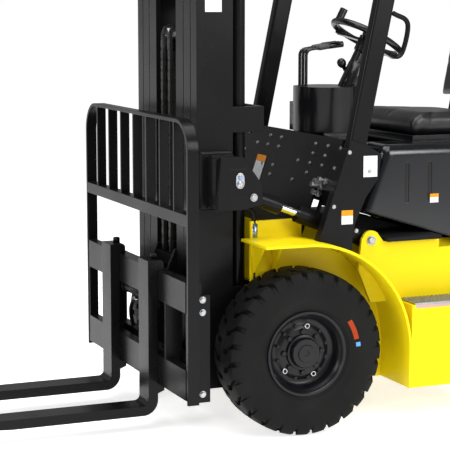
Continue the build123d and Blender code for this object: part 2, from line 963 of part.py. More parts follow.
# Tilt cylinders: the rod runs from the mast's pin into a barrel pinned to the frame
tilt_run = hypot(tilt_pin_behind - tilt_eye_behind, tilt_pin_height - tilt_eye_height)
barrel_length = tilt_run - tilt_neck_length - tilt_rod_shown
for side, label in ((1, "left"), (-1, "right")):
    eye = (side * tilt_x, tilt_eye_behind, tilt_eye_height)
    pin = (side * tilt_x, tilt_pin_behind, tilt_pin_height)
    with BuildPart() as tilt_rod:
        rod(between(eye, pin), (0, 0), tilt_neck_radius, tilt_neck_length)
        rod(between(eye, pin), (0, 0), tilt_rod_radius, tilt_run - 120)
        rod(side_plane(side * tilt_x - 25), (tilt_eye_behind, tilt_eye_height), 30, 50)
        rod(
            side_plane(side * tilt_x - 40),
            (tilt_eye_behind, tilt_eye_height),
            tilt_pin_radius + tilt_eye_play,
            80,
            Mode.SUBTRACT
        )
    write(tilt_rod.part, f"tilt_rod_{label}")
    with BuildPart() as tilt_barrel:
        rod(between(pin, eye), (0, 0), tilt_barrel_radius, barrel_length)
        rod(side_plane(side * tilt_x - 20), (tilt_pin_behind, tilt_pin_height), 34, 40)
        bore_start = between(pin, eye).offset(60)
        rod(bore_start, (0, 0), tilt_rod_radius + pin_play, barrel_length, Mode.SUBTRACT)
        rod(
            side_plane(side * tilt_x - 60),
            (tilt_pin_behind, tilt_pin_height),
            tilt_pin_radius + pin_play,
            120,
            Mode.SUBTRACT
        )
    write(tilt_barrel.part, f"tilt_barrel_{label}")

# Frame body: side plates, fenders, tank boxes with the step recess, cross members
tank_inside = side_plate_x + side_plate_thickness
upper_plate_x = body_half_width - step_depth
with BuildPart() as frame_body:
    for side in (-1, 1):
        # side plate from the mast back to the counterweight, open round the axle
        plate(
            side_plane(min(side * side_plate_x, side * (side_plate_x + side_plate_thickness))),
            [
                (-130, 560),
                (-130, 745),
                (70, 745),
                (70, floor_height - 20),
                (730, 640),
                (760, hood_seat_height),
                (frame_back, hood_seat_height),
                (frame_back, 300),
                (980, 300),
                (880, ground_clearance),
                (60, ground_clearance),
                (-50, 190),
                (-110, 330),
            ],
            side_plate_thickness,
        )
        # fender: flat top, quarter turn and a straight foot
        with BuildSketch(side_plane(side * body_half_width if side < 0 else tank_inside - 1)) as fender:
            with BuildLine():
                outer_centre = fender_height - fender_radius
                Line((fender_front, fender_height), (0, fender_height))
                CenterArc((0, outer_centre), fender_radius, 0, 90)
                Line((fender_radius, outer_centre), (fender_radius, ground_clearance))
                Line(
                    (fender_radius, ground_clearance), (fender_radius - fender_thickness, ground_clearance)
                )
                Line(
                    (fender_radius - fender_thickness, ground_clearance),
                    (fender_radius - fender_thickness, outer_centre)
                )
                CenterArc((0, outer_centre), fender_radius - fender_thickness, 0, 90)
                Line(
                    (0, fender_height - fender_thickness), (fender_front, fender_height - fender_thickness)
                )
                Line((fender_front, fender_height - fender_thickness), (fender_front, fender_height))
            make_face()
        extrude(fender.sketch, amount=body_half_width - tank_inside + 1)
        # two gussets under the fender
        for behind in (-110, -40):
            gusset = [
                (side * (tank_inside - 1), fender_height - 1),
                (side * (tank_inside - 1), fender_height - 125),
                (side * (tank_inside + 8), fender_height - 125),
                (side * (tank_inside + 105), fender_height - 1),
            ]
            plate(front_plane(behind), gusset, 8)
        # tank box up to the step, and the upper box behind it
        low_x = -body_half_width if side < 0 else tank_inside - 1
        plate(
            side_plane(low_x),
            [
                (fender_radius - 1, ground_clearance),
                (fender_radius - 1, step_height),
                (frame_back, step_height),
                (frame_back, 560),
                (1000, 470),
                (880, ground_clearance),
            ],
            body_half_width - tank_inside + 1,
        )
        # upper side plate behind the step with the tilt pin's boss
        upper_x = upper_plate_x - 12
        with BuildSketch(side_plane(upper_x if side > 0 else -upper_plate_x)) as upper:
            with BuildLine():
                Polyline(
                    (250, 560),
                    (262, tilt_pin_height + 10),
                    (325, tilt_pin_height + 25),
                    (350, upper_side_top),
                    (580, upper_side_top),
                    (580, hood_seat_height),
                    (frame_back, hood_seat_height),
                    (frame_back, step_height - 1),
                    (300, step_height - 1),
                    close=True,
                )
            make_face()
            with Locations((tilt_pin_behind, tilt_pin_height)):
                Circle(36)
        extrude(upper.sketch, amount=12)
        rod(
            side_plane(min(side * (side_plate_x + 1), side * upper_plate_x)),
            (tilt_pin_behind, tilt_pin_height),
            tilt_pin_radius,
            upper_plate_x - side_plate_x - 1
        )
        block(
            plan_plane(step_height - 1),
            (side * (side_plate_x + 1), step_back),
            (side * (body_half_width - 1), frame_back),
            hood_seat_height - step_height + 1
        )
    # cross members: the toe plate under the cowl, the engine's front and rear beams
    block(front_plane(cowl_foot_behind + 8), (-side_plate_x - 1, 430), (side_plate_x + 1, fender_height), 8)
    block(plan_plane(200), (-side_plate_x - 1, 560), (side_plate_x + 1, 640), 120)
    block(
        plan_plane(310),
        (-side_plate_x - 1, frame_back - 13),
        (side_plate_x + 1, frame_back),
        hood_seat_height - 310
    )
    rod(
        side_plane(-side_plate_x - 20),
        (0, front_tyre_radius),
        axle_flange_radius + seat_gap,
        2 * side_plate_x + 40,
        Mode.SUBTRACT
    )
write(frame_body.part, "frame_body")

# Counterweight: cast block with wheel arches, rounded tail and a tow pin's mouth
tail = wheelbase + rear_overhang
with BuildPart() as counterweight:
    with BuildSketch(plan_plane(counterweight_bottom)) as plan:
        with BuildLine():
            Polyline(
                (-counterweight_half_width, counterweight_front),
                (-counterweight_half_width, tail - 260),
                (-counterweight_half_width + 150, tail - 50),
                (-counterweight_half_width + 300, tail),
                (counterweight_half_width - 300, tail),
                (counterweight_half_width - 150, tail - 50),
                (counterweight_half_width, tail - 260),
                (counterweight_half_width, counterweight_front),
                close=True,
            )
        make_face()
    extrude(plan.sketch, amount=counterweight_top - counterweight_bottom)
    upright = counterweight.edges().filter_by(Axis.Z).filter_by_position(
        Axis.Y, axle_y + counterweight_front + 20, axle_y + tail + 1
    )
    fillet(upright, 40)
    rim_edges = counterweight.edges().group_by(Axis.Z)[-1].filter_by_position(
        Axis.Y, axle_y + counterweight_front + 60, axle_y + tail + 1
    )
    fillet(rim_edges, 35)
    # the arch over the steered wheels goes right across, round the axle beam
    with BuildSketch(side_plane(-body_half_width - 10)) as arch:
        with BuildLine():
            Polyline(
                (wheelbase - 310, counterweight_bottom - 10),
                (wheelbase - 310, 330),
                (wheelbase - 200, 490),
                (wheelbase + 200, 490),
                (wheelbase + 310, 330),
                (wheelbase + 310, counterweight_bottom - 10),
                close=True,
            )
        make_face()
    extrude(arch.sketch, amount=2 * body_half_width + 20, mode=Mode.SUBTRACT)
    # radiator duct
    block(
        front_plane(tail + 10), (-220, 560), (220, 860), tail + 10 - counterweight_front + 10, Mode.SUBTRACT
    )
    for louvre in range(7):
        block(front_plane(tail - 2), (-221, 570 + 42 * louvre), (221, 584 + 42 * louvre), 30)
    # tow pin in its mouth, and the two lifting holes
    block(front_plane(tail + 10), (-60, 400), (60, 470), 95, Mode.SUBTRACT)
    rod(plan_plane(390), (0, tail - 42), 14, 90)
    for x in (-lifting_hole_x, lifting_hole_x):
        rod(
            plan_plane(counterweight_top - lifting_hole_depth),
            (x, lifting_hole_behind),
            lifting_hole_radius,
            lifting_hole_depth + 10,
            Mode.SUBTRACT
        )
    # seat of the steer axle's saddle
    block(plan_plane(367 + seat_gap), (-150, wheelbase - 100), (150, wheelbase + 100), 130)
write(counterweight.part, "counterweight")

# Engine and gearbox as one plain block between the side plates
with BuildPart() as engine:
    block(plan_plane(330), (-200, 420), (200, 900), 320)
    block(plan_plane(320), (-60, 560), (60, 640), 11)
write(engine.part, "engine_block")

# Floor plate with its rubber mat
floor_bottom = upper_side_top + seat_gap
floor_thickness = floor_height - floor_bottom
with BuildPart() as floor_plate:
    block(
        plan_plane(floor_bottom),
        (-floor_half_width, toe_board_foot),
        (floor_half_width, 575),
        floor_thickness
    )
    plate(
        side_plane(-toe_board_half_width),
        [
            (toe_board_foot + 1, floor_bottom),
            (toe_board_foot + 1, floor_height),
            (toe_board_foot, floor_height),
            (toe_board_behind, toe_board_height),
            (toe_board_behind, toe_board_height - floor_thickness),
        ],
        2 * toe_board_half_width,
    )
write(floor_plate.part, "floor_plate")

# Step plates lie in the recesses over the tanks
with BuildPart() as steps:
    for side in (-1, 1):
        block(
            plan_plane(step_height + seat_gap),
            (side * (upper_plate_x + 1), step_front),
            (side * body_half_width, step_back - 2),
            6
        )
write(steps.part, "step_plates")

# Cowl: leaning front plate and folded side plates
lean = (cowl_head_behind - cowl_foot_behind) / (cowl_head - fender_height)
cowl_bottom = fender_height + seat_gap
cowl_skirt = 615.0


def cowl_line(height):
    """How far behind the axle the cowl's front plate is at a height."""
    return cowl_foot_behind + lean * (height - fender_height)


with BuildPart() as cowl:
    for side in (-1, 1):
        plate(
            side_plane(min(side * (cowl_half_width - cowl_plate), side * cowl_half_width)),
            [
                (cowl_line(cowl_skirt), cowl_skirt),
                (cowl_head_behind, cowl_head),
                (262, 1012),
                (318, 978),
                (303, 890),
                (257, 828),
                (215, 738),
                (205, cowl_bottom),
                (204, cowl_skirt),
            ],
            cowl_plate,
        )
        skirt = [
            (cowl_line(cowl_skirt), cowl_skirt),
            (cowl_line(cowl_bottom), cowl_bottom),
            (cowl_line(cowl_bottom) + cowl_plate, cowl_bottom),
            (cowl_line(cowl_skirt) + cowl_plate, cowl_skirt),
        ]
        plate(
            side_plane(min(side * tank_inside, side * cowl_half_width)),
            skirt,
            cowl_half_width - tank_inside
        )
    front = [
        (cowl_line(cowl_bottom), cowl_bottom),
        (cowl_head_behind, cowl_head),
        (cowl_head_behind + cowl_plate, cowl_head),
        (cowl_line(cowl_bottom) + cowl_plate, cowl_bottom),
    ]
    plate(side_plane(-cowl_half_width + 1), front, 2 * cowl_half_width - 2)
    plate(
        side_plane(-cowl_half_width + 1),
        [(cowl_head_behind, cowl_head), (244, 1017), (244, 1009), (cowl_head_behind, cowl_head - 8)],
        2 * cowl_half_width - 2
    )
    rod(
        side_plane(-body_half_width),
        (0, fender_height - fender_radius),
        fender_radius + seat_gap,
        2 * body_half_width,
        Mode.SUBTRACT
    )
    for side in (-1, 1):
        # mouth for the tilt cylinder
        block(side_plane(min(side * 302, side * 420)), (20, 600), (180, 850), 118, Mode.SUBTRACT)
        # slot for the guard's leg
        slot = guard_section_width + 12
        block(side_plane(side * guard_x - slot / 2), (186, 930), (300, cowl_head + 10), slot, Mode.SUBTRACT)
write(cowl.part, "cowl")


# Overhead guard: a leg, roof rail and rear leg on each side, with bars across the roof
def guard_line(height):
    """How far behind the axle the middle of the guard's front leg is at a height."""
    return guard_foot_behind + guard_lean * (height - 700)


def guard_rear_line(height):
    """How far behind the axle the middle of the guard's rear leg is at a height."""
    fall = (guard_top - guard_section_depth / 2 - height) / (
        guard_top - guard_section_depth / 2 - counterweight_top + 20
    )
    return guard_back - 60 + 60 * fall


guard_foot = fender_height - 60
with BuildPart() as guard:
    for side in (-1, 1):
        with BuildLine() as path:
            FilletPolyline(
                (side * guard_x, axle_y + guard_line(guard_foot), guard_foot),
                (
                    side * guard_x,
                    axle_y + guard_line(guard_top - guard_section_depth / 2),
                    guard_top - guard_section_depth / 2
                ),
                (side * guard_x, axle_y + guard_back - 60, guard_top - guard_section_depth / 2),
                (side * guard_x, axle_y + guard_back, counterweight_top - 20),
                radius=110,
            )
        with BuildSketch(Plane(origin=path.line @ 0, x_dir=(1, 0, 0), z_dir=path.line % 0)) as section:
            RectangleRounded(guard_section_width, guard_section_depth, 10)
        sweep(section.sketch, path=path.line)
    for behind in (guard_line(guard_top) + 60, guard_back - 130):
        block(plan_plane(guard_top - 60), (-guard_x, behind), (guard_x, behind + 50), 50)
    span = 2 * (guard_x - 60)
    for index in range(guard_bars):
        x = -guard_x + 60 + index * span / (guard_bars - 1)
        block(
            plan_plane(guard_top - 50), (x - 8, guard_line(guard_top) + 80), (x + 8, guard_back - 110), 40
        )
    # the feet stand on the fenders and on the counterweight
    rod(
        side_plane(-body_half_width),
        (0, fender_height - fender_radius),
        fender_radius + seat_gap,
        2 * body_half_width,
        Mode.SUBTRACT
    )
    block(
        plan_plane(counterweight_top - 60),
        (-body_half_width, guard_back - 90),
        (body_half_width, guard_back + 90),
        60 + seat_gap,
        Mode.SUBTRACT
    )
write(guard.part, "overhead_guard")

# Hood: moulded shell, open below, hinged at its rear edge
hood_seat = hood_seat_height + seat_gap


def hood_shape(inset, radius):
    """The hood's outside, or the same shape set in by the wall; its top and sloped edges are rounded."""
    front = hood_front + inset
    floor = hood_seat - 5 if inset else hood_seat
    top = hood_top - inset
    half = hood_half_width - inset
    with BuildPart(mode=Mode.PRIVATE) as shape:
        plate(
            side_plane(-half),
            [
                (front, hood_front_bottom - inset / 2),
                (front + 92, top),
                (hood_back - inset, top),
                (hood_back - inset, floor),
                (hood_fall_end, floor),
            ],
            2 * half,
        )
        long_edges = shape.edges().filter_by(Axis.Y).group_by(Axis.Z)[-1]
        front_edges = shape.edges().filter_by_position(Axis.Y, axle_y + front + 40, axle_y + front + 60)
        cross_edge = shape.edges().filter_by(Axis.X).filter_by_position(
            Axis.Y, axle_y + front + 80, axle_y + front + 100
        )
        fillet(long_edges + front_edges + cross_edge, radius)
    return shape.part


with BuildPart() as hood:
    add(hood_shape(0, hood_round))
    add(hood_shape(hood_wall, hood_round - hood_wall), mode=Mode.SUBTRACT)
    # pressed grooves in the sides
    for side in (-1, 1):
        for rib in range(6):
            start = 470 + 95 * rib
            block(
                side_plane(min(side * (hood_half_width - 2.5), side * (hood_half_width + 2))),
                (start, 790),
                (start + 14, 930),
                4.5,
                Mode.SUBTRACT
            )
        # hinge barrels on the rear edge
        block(
            plan_plane(hood_top - 1),
            (side * 230, hood_hinge_behind - 34),
            (side * 290, hood_hinge_behind),
            hood_hinge_height - hood_top + 1
        )
        rod(side_plane(min(side * 230, side * 290)), (hood_hinge_behind, hood_hinge_height), 6, 60)
    # the knee recess in front of the seat, with its own walls that end at the hood's slopes
    recess = 2 * hood_mid_half_width
    knee = hood_mid_front + hood_wall
    knee_bottom = hood_front_bottom - (hood_front_bottom - hood_seat) * (knee - hood_front) / (hood_fall_end - hood_front)
    plate(
        side_plane(-hood_mid_half_width - hood_wall),
        [
            (hood_front, hood_front_bottom),
            (hood_front + 92, hood_top),
            (knee, hood_top),
            (knee, knee_bottom),
        ],
        recess + 2 * hood_wall,
    )
    block(
        side_plane(-hood_mid_half_width),
        (hood_front - 20, floor_height),
        (hood_mid_front, hood_top + 10),
        recess,
        Mode.SUBTRACT
    )
write(hood.part, "hood")

# Seat: frame, cushion and back
seat_rake = 75 / 403


def rest_line(height):
    """How far behind the axle the front of the seat's back plate is at a height."""
    return seat_back - 20 + seat_rake * (height - hood_top - 17)


with BuildPart() as seat_frame:
    block(
        plan_plane(hood_top + seat_gap),
        (-seat_half_width + 20, seat_front + 20),
        (seat_half_width - 20, seat_back),
        18
    )
    plate(
        side_plane(-seat_half_width + 30),
        [
            (seat_back - 20, hood_top + 17),
            (seat_back + 30, hood_top + 17),
            (seat_back + 75, hood_top + 420),
            (rest_line(hood_top + 420), hood_top + 420)
        ],
        2 * seat_half_width - 60
    )
write(seat_frame.part, "seat_frame")
with BuildPart() as cushion:
    low = hood_top + 18 + 2 * seat_gap
    plate(
        side_plane(-seat_half_width),
        [
            (seat_front, low),
            (seat_front, low + 60),
            (seat_front + 40, low + seat_cushion_thickness),
            (seat_back - 30, low + seat_cushion_thickness - 15),
            (seat_back - 22, low)
        ],
        2 * seat_half_width
    )
write(cushion.part, "seat_cushion")
with BuildPart() as back_pad:
    low = hood_top + 120
    plate(
        side_plane(-seat_half_width + 15),
        [
            (seat_back - 58, low + 2),
            (rest_line(low) - seat_gap, low),
            (rest_line(low + 340) - seat_gap, low + 340),
            (seat_back + 36, low + 345),
            (seat_back, low + 330)
        ],
        2 * seat_half_width - 30
    )
write(back_pad.part, "seat_back")

# Steering column, wheel and the driver's controls
tilt = radians(wheel_tilt)
column_length = 691.0
column_foot = (
    0.0,
    wheel_centre_behind - column_length * sin(tilt),
    wheel_centre_height - column_length * cos(tilt),
)
wheel_place = (0.0, wheel_centre_behind, wheel_centre_height)
with BuildPart() as column:
    base = between(column_foot, wheel_place)
    rod(base, (0, 0), column_radius, column_length - 60 - seat_gap)
    rod(base.offset(40), (0, 0), 38, 120)
write(column.part, "steering_column")
with BuildPart() as steering_wheel:
    centre = between(wheel_place, (0.0, wheel_centre_behind + sin(tilt), wheel_centre_height + cos(tilt)))
    with BuildSketch(Plane(origin=centre.origin, x_dir=(1, 0, 0), z_dir=centre.y_dir)) as section:
        with Locations((wheel_rim_radius, 0)):
            Circle(wheel_rim_thickness)
    revolve(section.sketch, axis=Axis(centre.origin, centre.z_dir))
    rod(centre.offset(-60), (0, 0), 28, 60)
    for turn in (90, 210, 330):
        along = centre.x_dir * cos(radians(turn)) + centre.y_dir * sin(radians(turn))
        spoke = Plane(origin=centre.origin - centre.z_dir * 20, x_dir=along, z_dir=centre.z_dir)
        block(spoke, (0, -12), (wheel_rim_radius, 12), 10)
    rod(centre.offset(5), (0, -wheel_rim_radius), 15, 45)
write(steering_wheel.part, "steering_wheel")
with BuildPart() as console:
    rod(plan_plane(1031), (0, 322), 125, 168)
    block(plan_plane(1021), (-105, 262), (105, 400), 20)
    block(plan_plane(1021), (-198, 262), (-80, 340), 110)
    plate(
        side_plane(-125),
        [
            (cowl_line(940) + cowl_plate + seat_gap, 940),
            (400, 985),
            (400, 1022),
            (262, 1022),
            (262, 1003),
            (cowl_line(1003) + cowl_plate + seat_gap, 1003),
        ],
        250,
    )
    rod(base, (0, 0), column_radius + seat_gap, column_length, Mode.SUBTRACT)
    for index in range(3):
        x = -188 + 29 * index
        with BuildLine() as path:
            FilletPolyline(
                (x, axle_y + 300, 1131 + seat_gap),
                (x, axle_y + 300, 1330),
                (x, axle_y + 400, 1345),
                radius=25
            )
        with BuildSketch(Plane(origin=path.line @ 0, z_dir=path.line % 0)) as section:
            Circle(6)
        sweep(section.sketch, path=path.line)
        rod(between((x, 396, 1345), (x, 460, 1352)), (0, 0), 12, 60)
write(console.part, "lever_console")
with BuildPart() as pedals:
    for x in (-250, -140, 150):
        block(
            Plane(origin=(x, axle_y + 235, 785), x_dir=(1, 0, 0), z_dir=(0, 0.7, 0.7)),
            (-35, -40),
            (35, 40),
            10
        )
        rod(between((x, 235, 790), (x, 215, 733)), (0, 0), 8, 58.1)
write(pedals.part, "pedals")

# Lamps: two work lamps on the guard's front legs, two rear lamps on its rear legs
with BuildPart() as lamps:
    lamp_seat = guard_section_depth / 2 * 1.0212 + seat_gap
    for side in (-1, 1):
        lamp_back = guard_line(lamp_height) - 60
        rod(front_plane(lamp_back), (side * guard_x, lamp_height), 55, 50)
        bracket = [
            (guard_line(lamp_height - 30) - lamp_seat, lamp_height - 30),
            (guard_line(lamp_height + 30) - lamp_seat, lamp_height + 30),
            (lamp_back - 5, lamp_height + 30),
            (lamp_back - 5, lamp_height - 30),
        ]
        plate(side_plane(side * guard_x - 10), bracket, 20)
        tail_lamp = [
            (guard_rear_line(1200) + lamp_seat, 1200),
            (guard_rear_line(1200) + 75, 1200),
            (guard_rear_line(1200) + 75, 1330),
            (guard_rear_line(1330) + lamp_seat, 1330),
        ]
        plate(side_plane(side * guard_x - 40), tail_lamp, 80)
write(lamps.part, "lamps")
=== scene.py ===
# %% [markdown]
# # A forklift on a pale studio floor
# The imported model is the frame: every solid already stands in its place, in metres.
# This script gives those solids their finishes, and adds tyres, chains, hoses, bolts and cushions.

import json
from math import cos, pi, radians, sin

import bmesh
import bpy
import numpy as np
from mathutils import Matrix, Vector


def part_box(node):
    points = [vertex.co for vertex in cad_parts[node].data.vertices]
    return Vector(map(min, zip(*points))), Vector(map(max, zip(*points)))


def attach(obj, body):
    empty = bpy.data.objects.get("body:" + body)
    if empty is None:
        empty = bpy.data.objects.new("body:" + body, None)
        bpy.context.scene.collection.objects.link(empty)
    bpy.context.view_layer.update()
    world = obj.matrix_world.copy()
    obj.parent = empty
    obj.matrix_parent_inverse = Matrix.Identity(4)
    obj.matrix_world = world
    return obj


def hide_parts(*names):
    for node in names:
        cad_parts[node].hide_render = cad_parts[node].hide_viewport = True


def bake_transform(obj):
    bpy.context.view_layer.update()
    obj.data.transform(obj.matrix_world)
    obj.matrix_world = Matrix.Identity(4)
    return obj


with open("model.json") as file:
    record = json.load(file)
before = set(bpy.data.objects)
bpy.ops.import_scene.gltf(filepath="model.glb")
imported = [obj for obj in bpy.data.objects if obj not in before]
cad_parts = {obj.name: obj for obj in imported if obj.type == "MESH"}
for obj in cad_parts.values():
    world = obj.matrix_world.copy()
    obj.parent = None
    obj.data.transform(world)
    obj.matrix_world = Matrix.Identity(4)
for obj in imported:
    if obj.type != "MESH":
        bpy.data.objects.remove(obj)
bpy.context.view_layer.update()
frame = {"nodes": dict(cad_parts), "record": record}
scene = bpy.context.scene

# %% [markdown]
# Places along the truck are easiest to read as distances behind the front axle.
# `at` turns such a place into the frame's coordinates.

# %%
AXLE_Y = -0.1935
WHEELBASE = 1.4
FRONT_HALF_TREAD = 0.445
FRONT_RADIUS = 0.295
FRONT_BEAD = 0.147
REAR_HALF_TREAD = 0.46
REAR_RADIUS = 0.232
REAR_BEAD = 0.114
GUARD_X = 0.425
TILT_X = 0.362
SIDES = ((1, "left"), (-1, "right"))


def at(x, behind, height):
    return Vector((x, AXLE_Y + behind, height))


# %% [markdown]
# ## Camera and light
# The camera stands in front of the left side, at about eye height, with a long lens.

# %%
SWING = 0.3962
DIP = 0.1403
look = Vector((-cos(SWING) * cos(DIP), sin(SWING) * cos(DIP), -sin(DIP)))
camera_data = bpy.data.cameras.new("camera")
camera_data.sensor_width = 36
camera_data.lens = 126.57
camera_data.clip_end = 1500
camera = bpy.data.objects.new("camera", camera_data)
camera.location = (5.4032, -2.5476, 1.5152)
camera.rotation_mode = "QUATERNION"
camera.rotation_quaternion = look.to_track_quat("-Z", "Y")
scene.collection.objects.link(camera)
scene.camera = camera

# %% [markdown]
# Three soft boxes light the truck: a wide one overhead, one from the camera's side and one from the front.
# The world is white to the camera, and dimmer where it lights the truck, so that black paint stays black.


# %%
def soft_box(name, place, target, size, power):
    data = bpy.data.lights.new(name, "AREA")
    data.shape = "RECTANGLE"
    data.size, data.size_y = size
    data.energy = power
    lamp = bpy.data.objects.new(name, data)
    lamp.location = place
    lamp.rotation_mode = "QUATERNION"
    lamp.rotation_quaternion = (Vector(target) - Vector(place)).to_track_quat("-Z", "Y")
    scene.collection.objects.link(lamp)


soft_box("top_box", (1.0, -0.5, 5.0), (0, 0, 0.6), (4.0, 5.0), 300)
soft_box("side_box", (5.5, 2.5, 3.2), (0, 0.2, 0.8), (2.2, 2.6), 230)
soft_box("front_box", (1.5, -6.0, 3.0), (0, -0.3, 0.8), (2.4, 2.2), 150)

world = bpy.data.worlds.new("studio")
world.use_nodes = True
sky = world.node_tree.nodes["Background"]
seen = world.node_tree.nodes.new("ShaderNodeLightPath")
level = world.node_tree.nodes.new("ShaderNodeMapRange")
level.inputs["To Min"].default_value = 0.34
level.inputs["To Max"].default_value = 1.0
sky.inputs["Color"].default_value = (1.0, 1.0, 1.0, 1)
world.node_tree.links.new(seen.outputs["Is Camera Ray"], level.inputs["Value"])
world.node_tree.links.new(level.outputs["Result"], sky.inputs["Strength"])
scene.world = world
scene.view_settings.view_transform = "Standard"

# %% [markdown]
# ## Finishes
# One node group makes the two things that most finishes share: a slow change of tone and a fine bump.


# %%
def texture_group():
    group = bpy.data.node_groups.new("fine_texture", "ShaderNodeTree")
    for name, way, kind in (
        ("Scale", "INPUT", "NodeSocketFloat"),
        ("Bump", "INPUT", "NodeSocketFloat"),
        ("Edge", "INPUT", "NodeSocketVector"),
        ("Tone", "OUTPUT", "NodeSocketFloat"),
        ("Normal", "OUTPUT", "NodeSocketVector"),
    ):
        group.interface.new_socket(name=name, in_out=way, socket_type=kind)
    nodes, links = group.nodes, group.links
    given = nodes.new("NodeGroupInput")
    result = nodes.new("NodeGroupOutput")
    place = nodes.new("ShaderNodeTexCoord")
    slow = nodes.new("ShaderNodeTexNoise")
    slow.inputs["Detail"].default_value = 5
    finer = nodes.new("ShaderNodeMath")
    finer.operation = "MULTIPLY"
    finer.inputs[1].default_value = 40
    grain = nodes.new("ShaderNodeTexNoise")
    grain.inputs["Detail"].default_value = 3
    bump = nodes.new("ShaderNodeBump")
    bump.inputs["Distance"].default_value = 0.001
    links.new(place.outputs["Object"], slow.inputs["Vector"])
    links.new(place.outputs["Object"], grain.inputs["Vector"])
    links.new(given.outputs["Scale"], slow.inputs["Scale"])
    links.new(given.outputs["Scale"], finer.inputs[0])
    links.new(finer.outputs[0], grain.inputs["Scale"])
    links.new(grain.outputs["Fac"], bump.inputs["Height"])
    links.new(given.outputs["Edge"], bump.inputs["Normal"])
    links.new(given.outputs["Bump"], bump.inputs["Strength"])
    links.new(slow.outputs["Fac"], result.inputs["Tone"])
    links.new(bump.outputs["Normal"], result.inputs["Normal"])
    return group


fine_texture = texture_group()

# %% [markdown]
# A finish is one Principled shader. Tone moves its colour between two values and its roughness by a little.
# Painted steel also gets softened edges, which catch the light.


# %%
def finish(
    name,
    light,
    dark,
    roughness,
    scale=5,
    bump=0.1,
    metallic=0.0,
    coat=0.0,
    spread=0.12,
    shine=0.12,
    edge=0.0
):
    material = bpy.data.materials.new(name)
    material.use_nodes = True
    nodes, links = material.node_tree.nodes, material.node_tree.links
    shader = nodes["Principled BSDF"]
    shader.inputs["Metallic"].default_value = metallic
    shader.inputs["Specular IOR Level"].default_value = shine
    shader.inputs["Coat Weight"].default_value = coat
    shader.inputs["Coat Roughness"].default_value = 0.08
    texture = nodes.new("ShaderNodeGroup")
    texture.node_tree = fine_texture
    texture.inputs["Scale"].default_value = scale
    texture.inputs["Bump"].default_value = bump
    if edge:
        facing = nodes.new("ShaderNodeBevel")
        facing.samples = 4
        facing.inputs["Radius"].default_value = edge
    else:
        facing = nodes.new("ShaderNodeNewGeometry")
    links.new(facing.outputs["Normal"], texture.inputs["Edge"])
    colour = nodes.new("ShaderNodeMix")
    colour.data_type = "RGBA"
    colour.inputs["A"].default_value = (*dark, 1)
    colour.inputs["B"].default_value = (*light, 1)
    rough = nodes.new("ShaderNodeMapRange")
    rough.inputs["From Min"].default_value = 0.3
    rough.inputs["From Max"].default_value = 0.7
    rough.inputs["To Min"].default_value = roughness + spread / 2
    rough.inputs["To Max"].default_value = roughness - spread / 2
    links.new(texture.outputs["Tone"], colour.inputs["Factor"])
    links.new(texture.outputs["Tone"], rough.inputs["Value"])
    links.new(colour.outputs["Result"], shader.inputs["Base Color"])
    links.new(rough.outputs["Result"], shader.inputs["Roughness"])
    links.new(texture.outputs["Normal"], shader.inputs["Normal"])
    return material


# %% [markdown]
# Moulded plastic, vinyl and rubber mat carry a pattern of their own in the normal.


# %%
def patterned(material, kind, scale, strength, distance):
    """Adds cells or ribs to a finish, on top of its fine bump."""
    nodes, links = material.node_tree.nodes, material.node_tree.links
    place = nodes.new("ShaderNodeTexCoord")
    if kind == "ribs":
        pattern = nodes.new("ShaderNodeTexWave")
        pattern.inputs["Distortion"].default_value = 0
        height = pattern.outputs["Fac"]
    else:
        pattern = nodes.new("ShaderNodeTexVoronoi")
        pattern.feature = "F1"
        height = pattern.outputs["Distance"]
    pattern.inputs["Scale"].default_value = scale
    bump = nodes.new("ShaderNodeBump")
    bump.inputs["Strength"].default_value = strength
    bump.inputs["Distance"].default_value = distance
    texture = next(n for n in nodes if n.type == "GROUP")
    links.new(place.outputs["Object"], pattern.inputs["Vector"])
    links.new(height, bump.inputs["Height"])
    links.new(texture.outputs["Normal"], bump.inputs["Normal"])
    links.new(bump.outputs["Normal"], nodes["Principled BSDF"].inputs["Normal"])
    return material


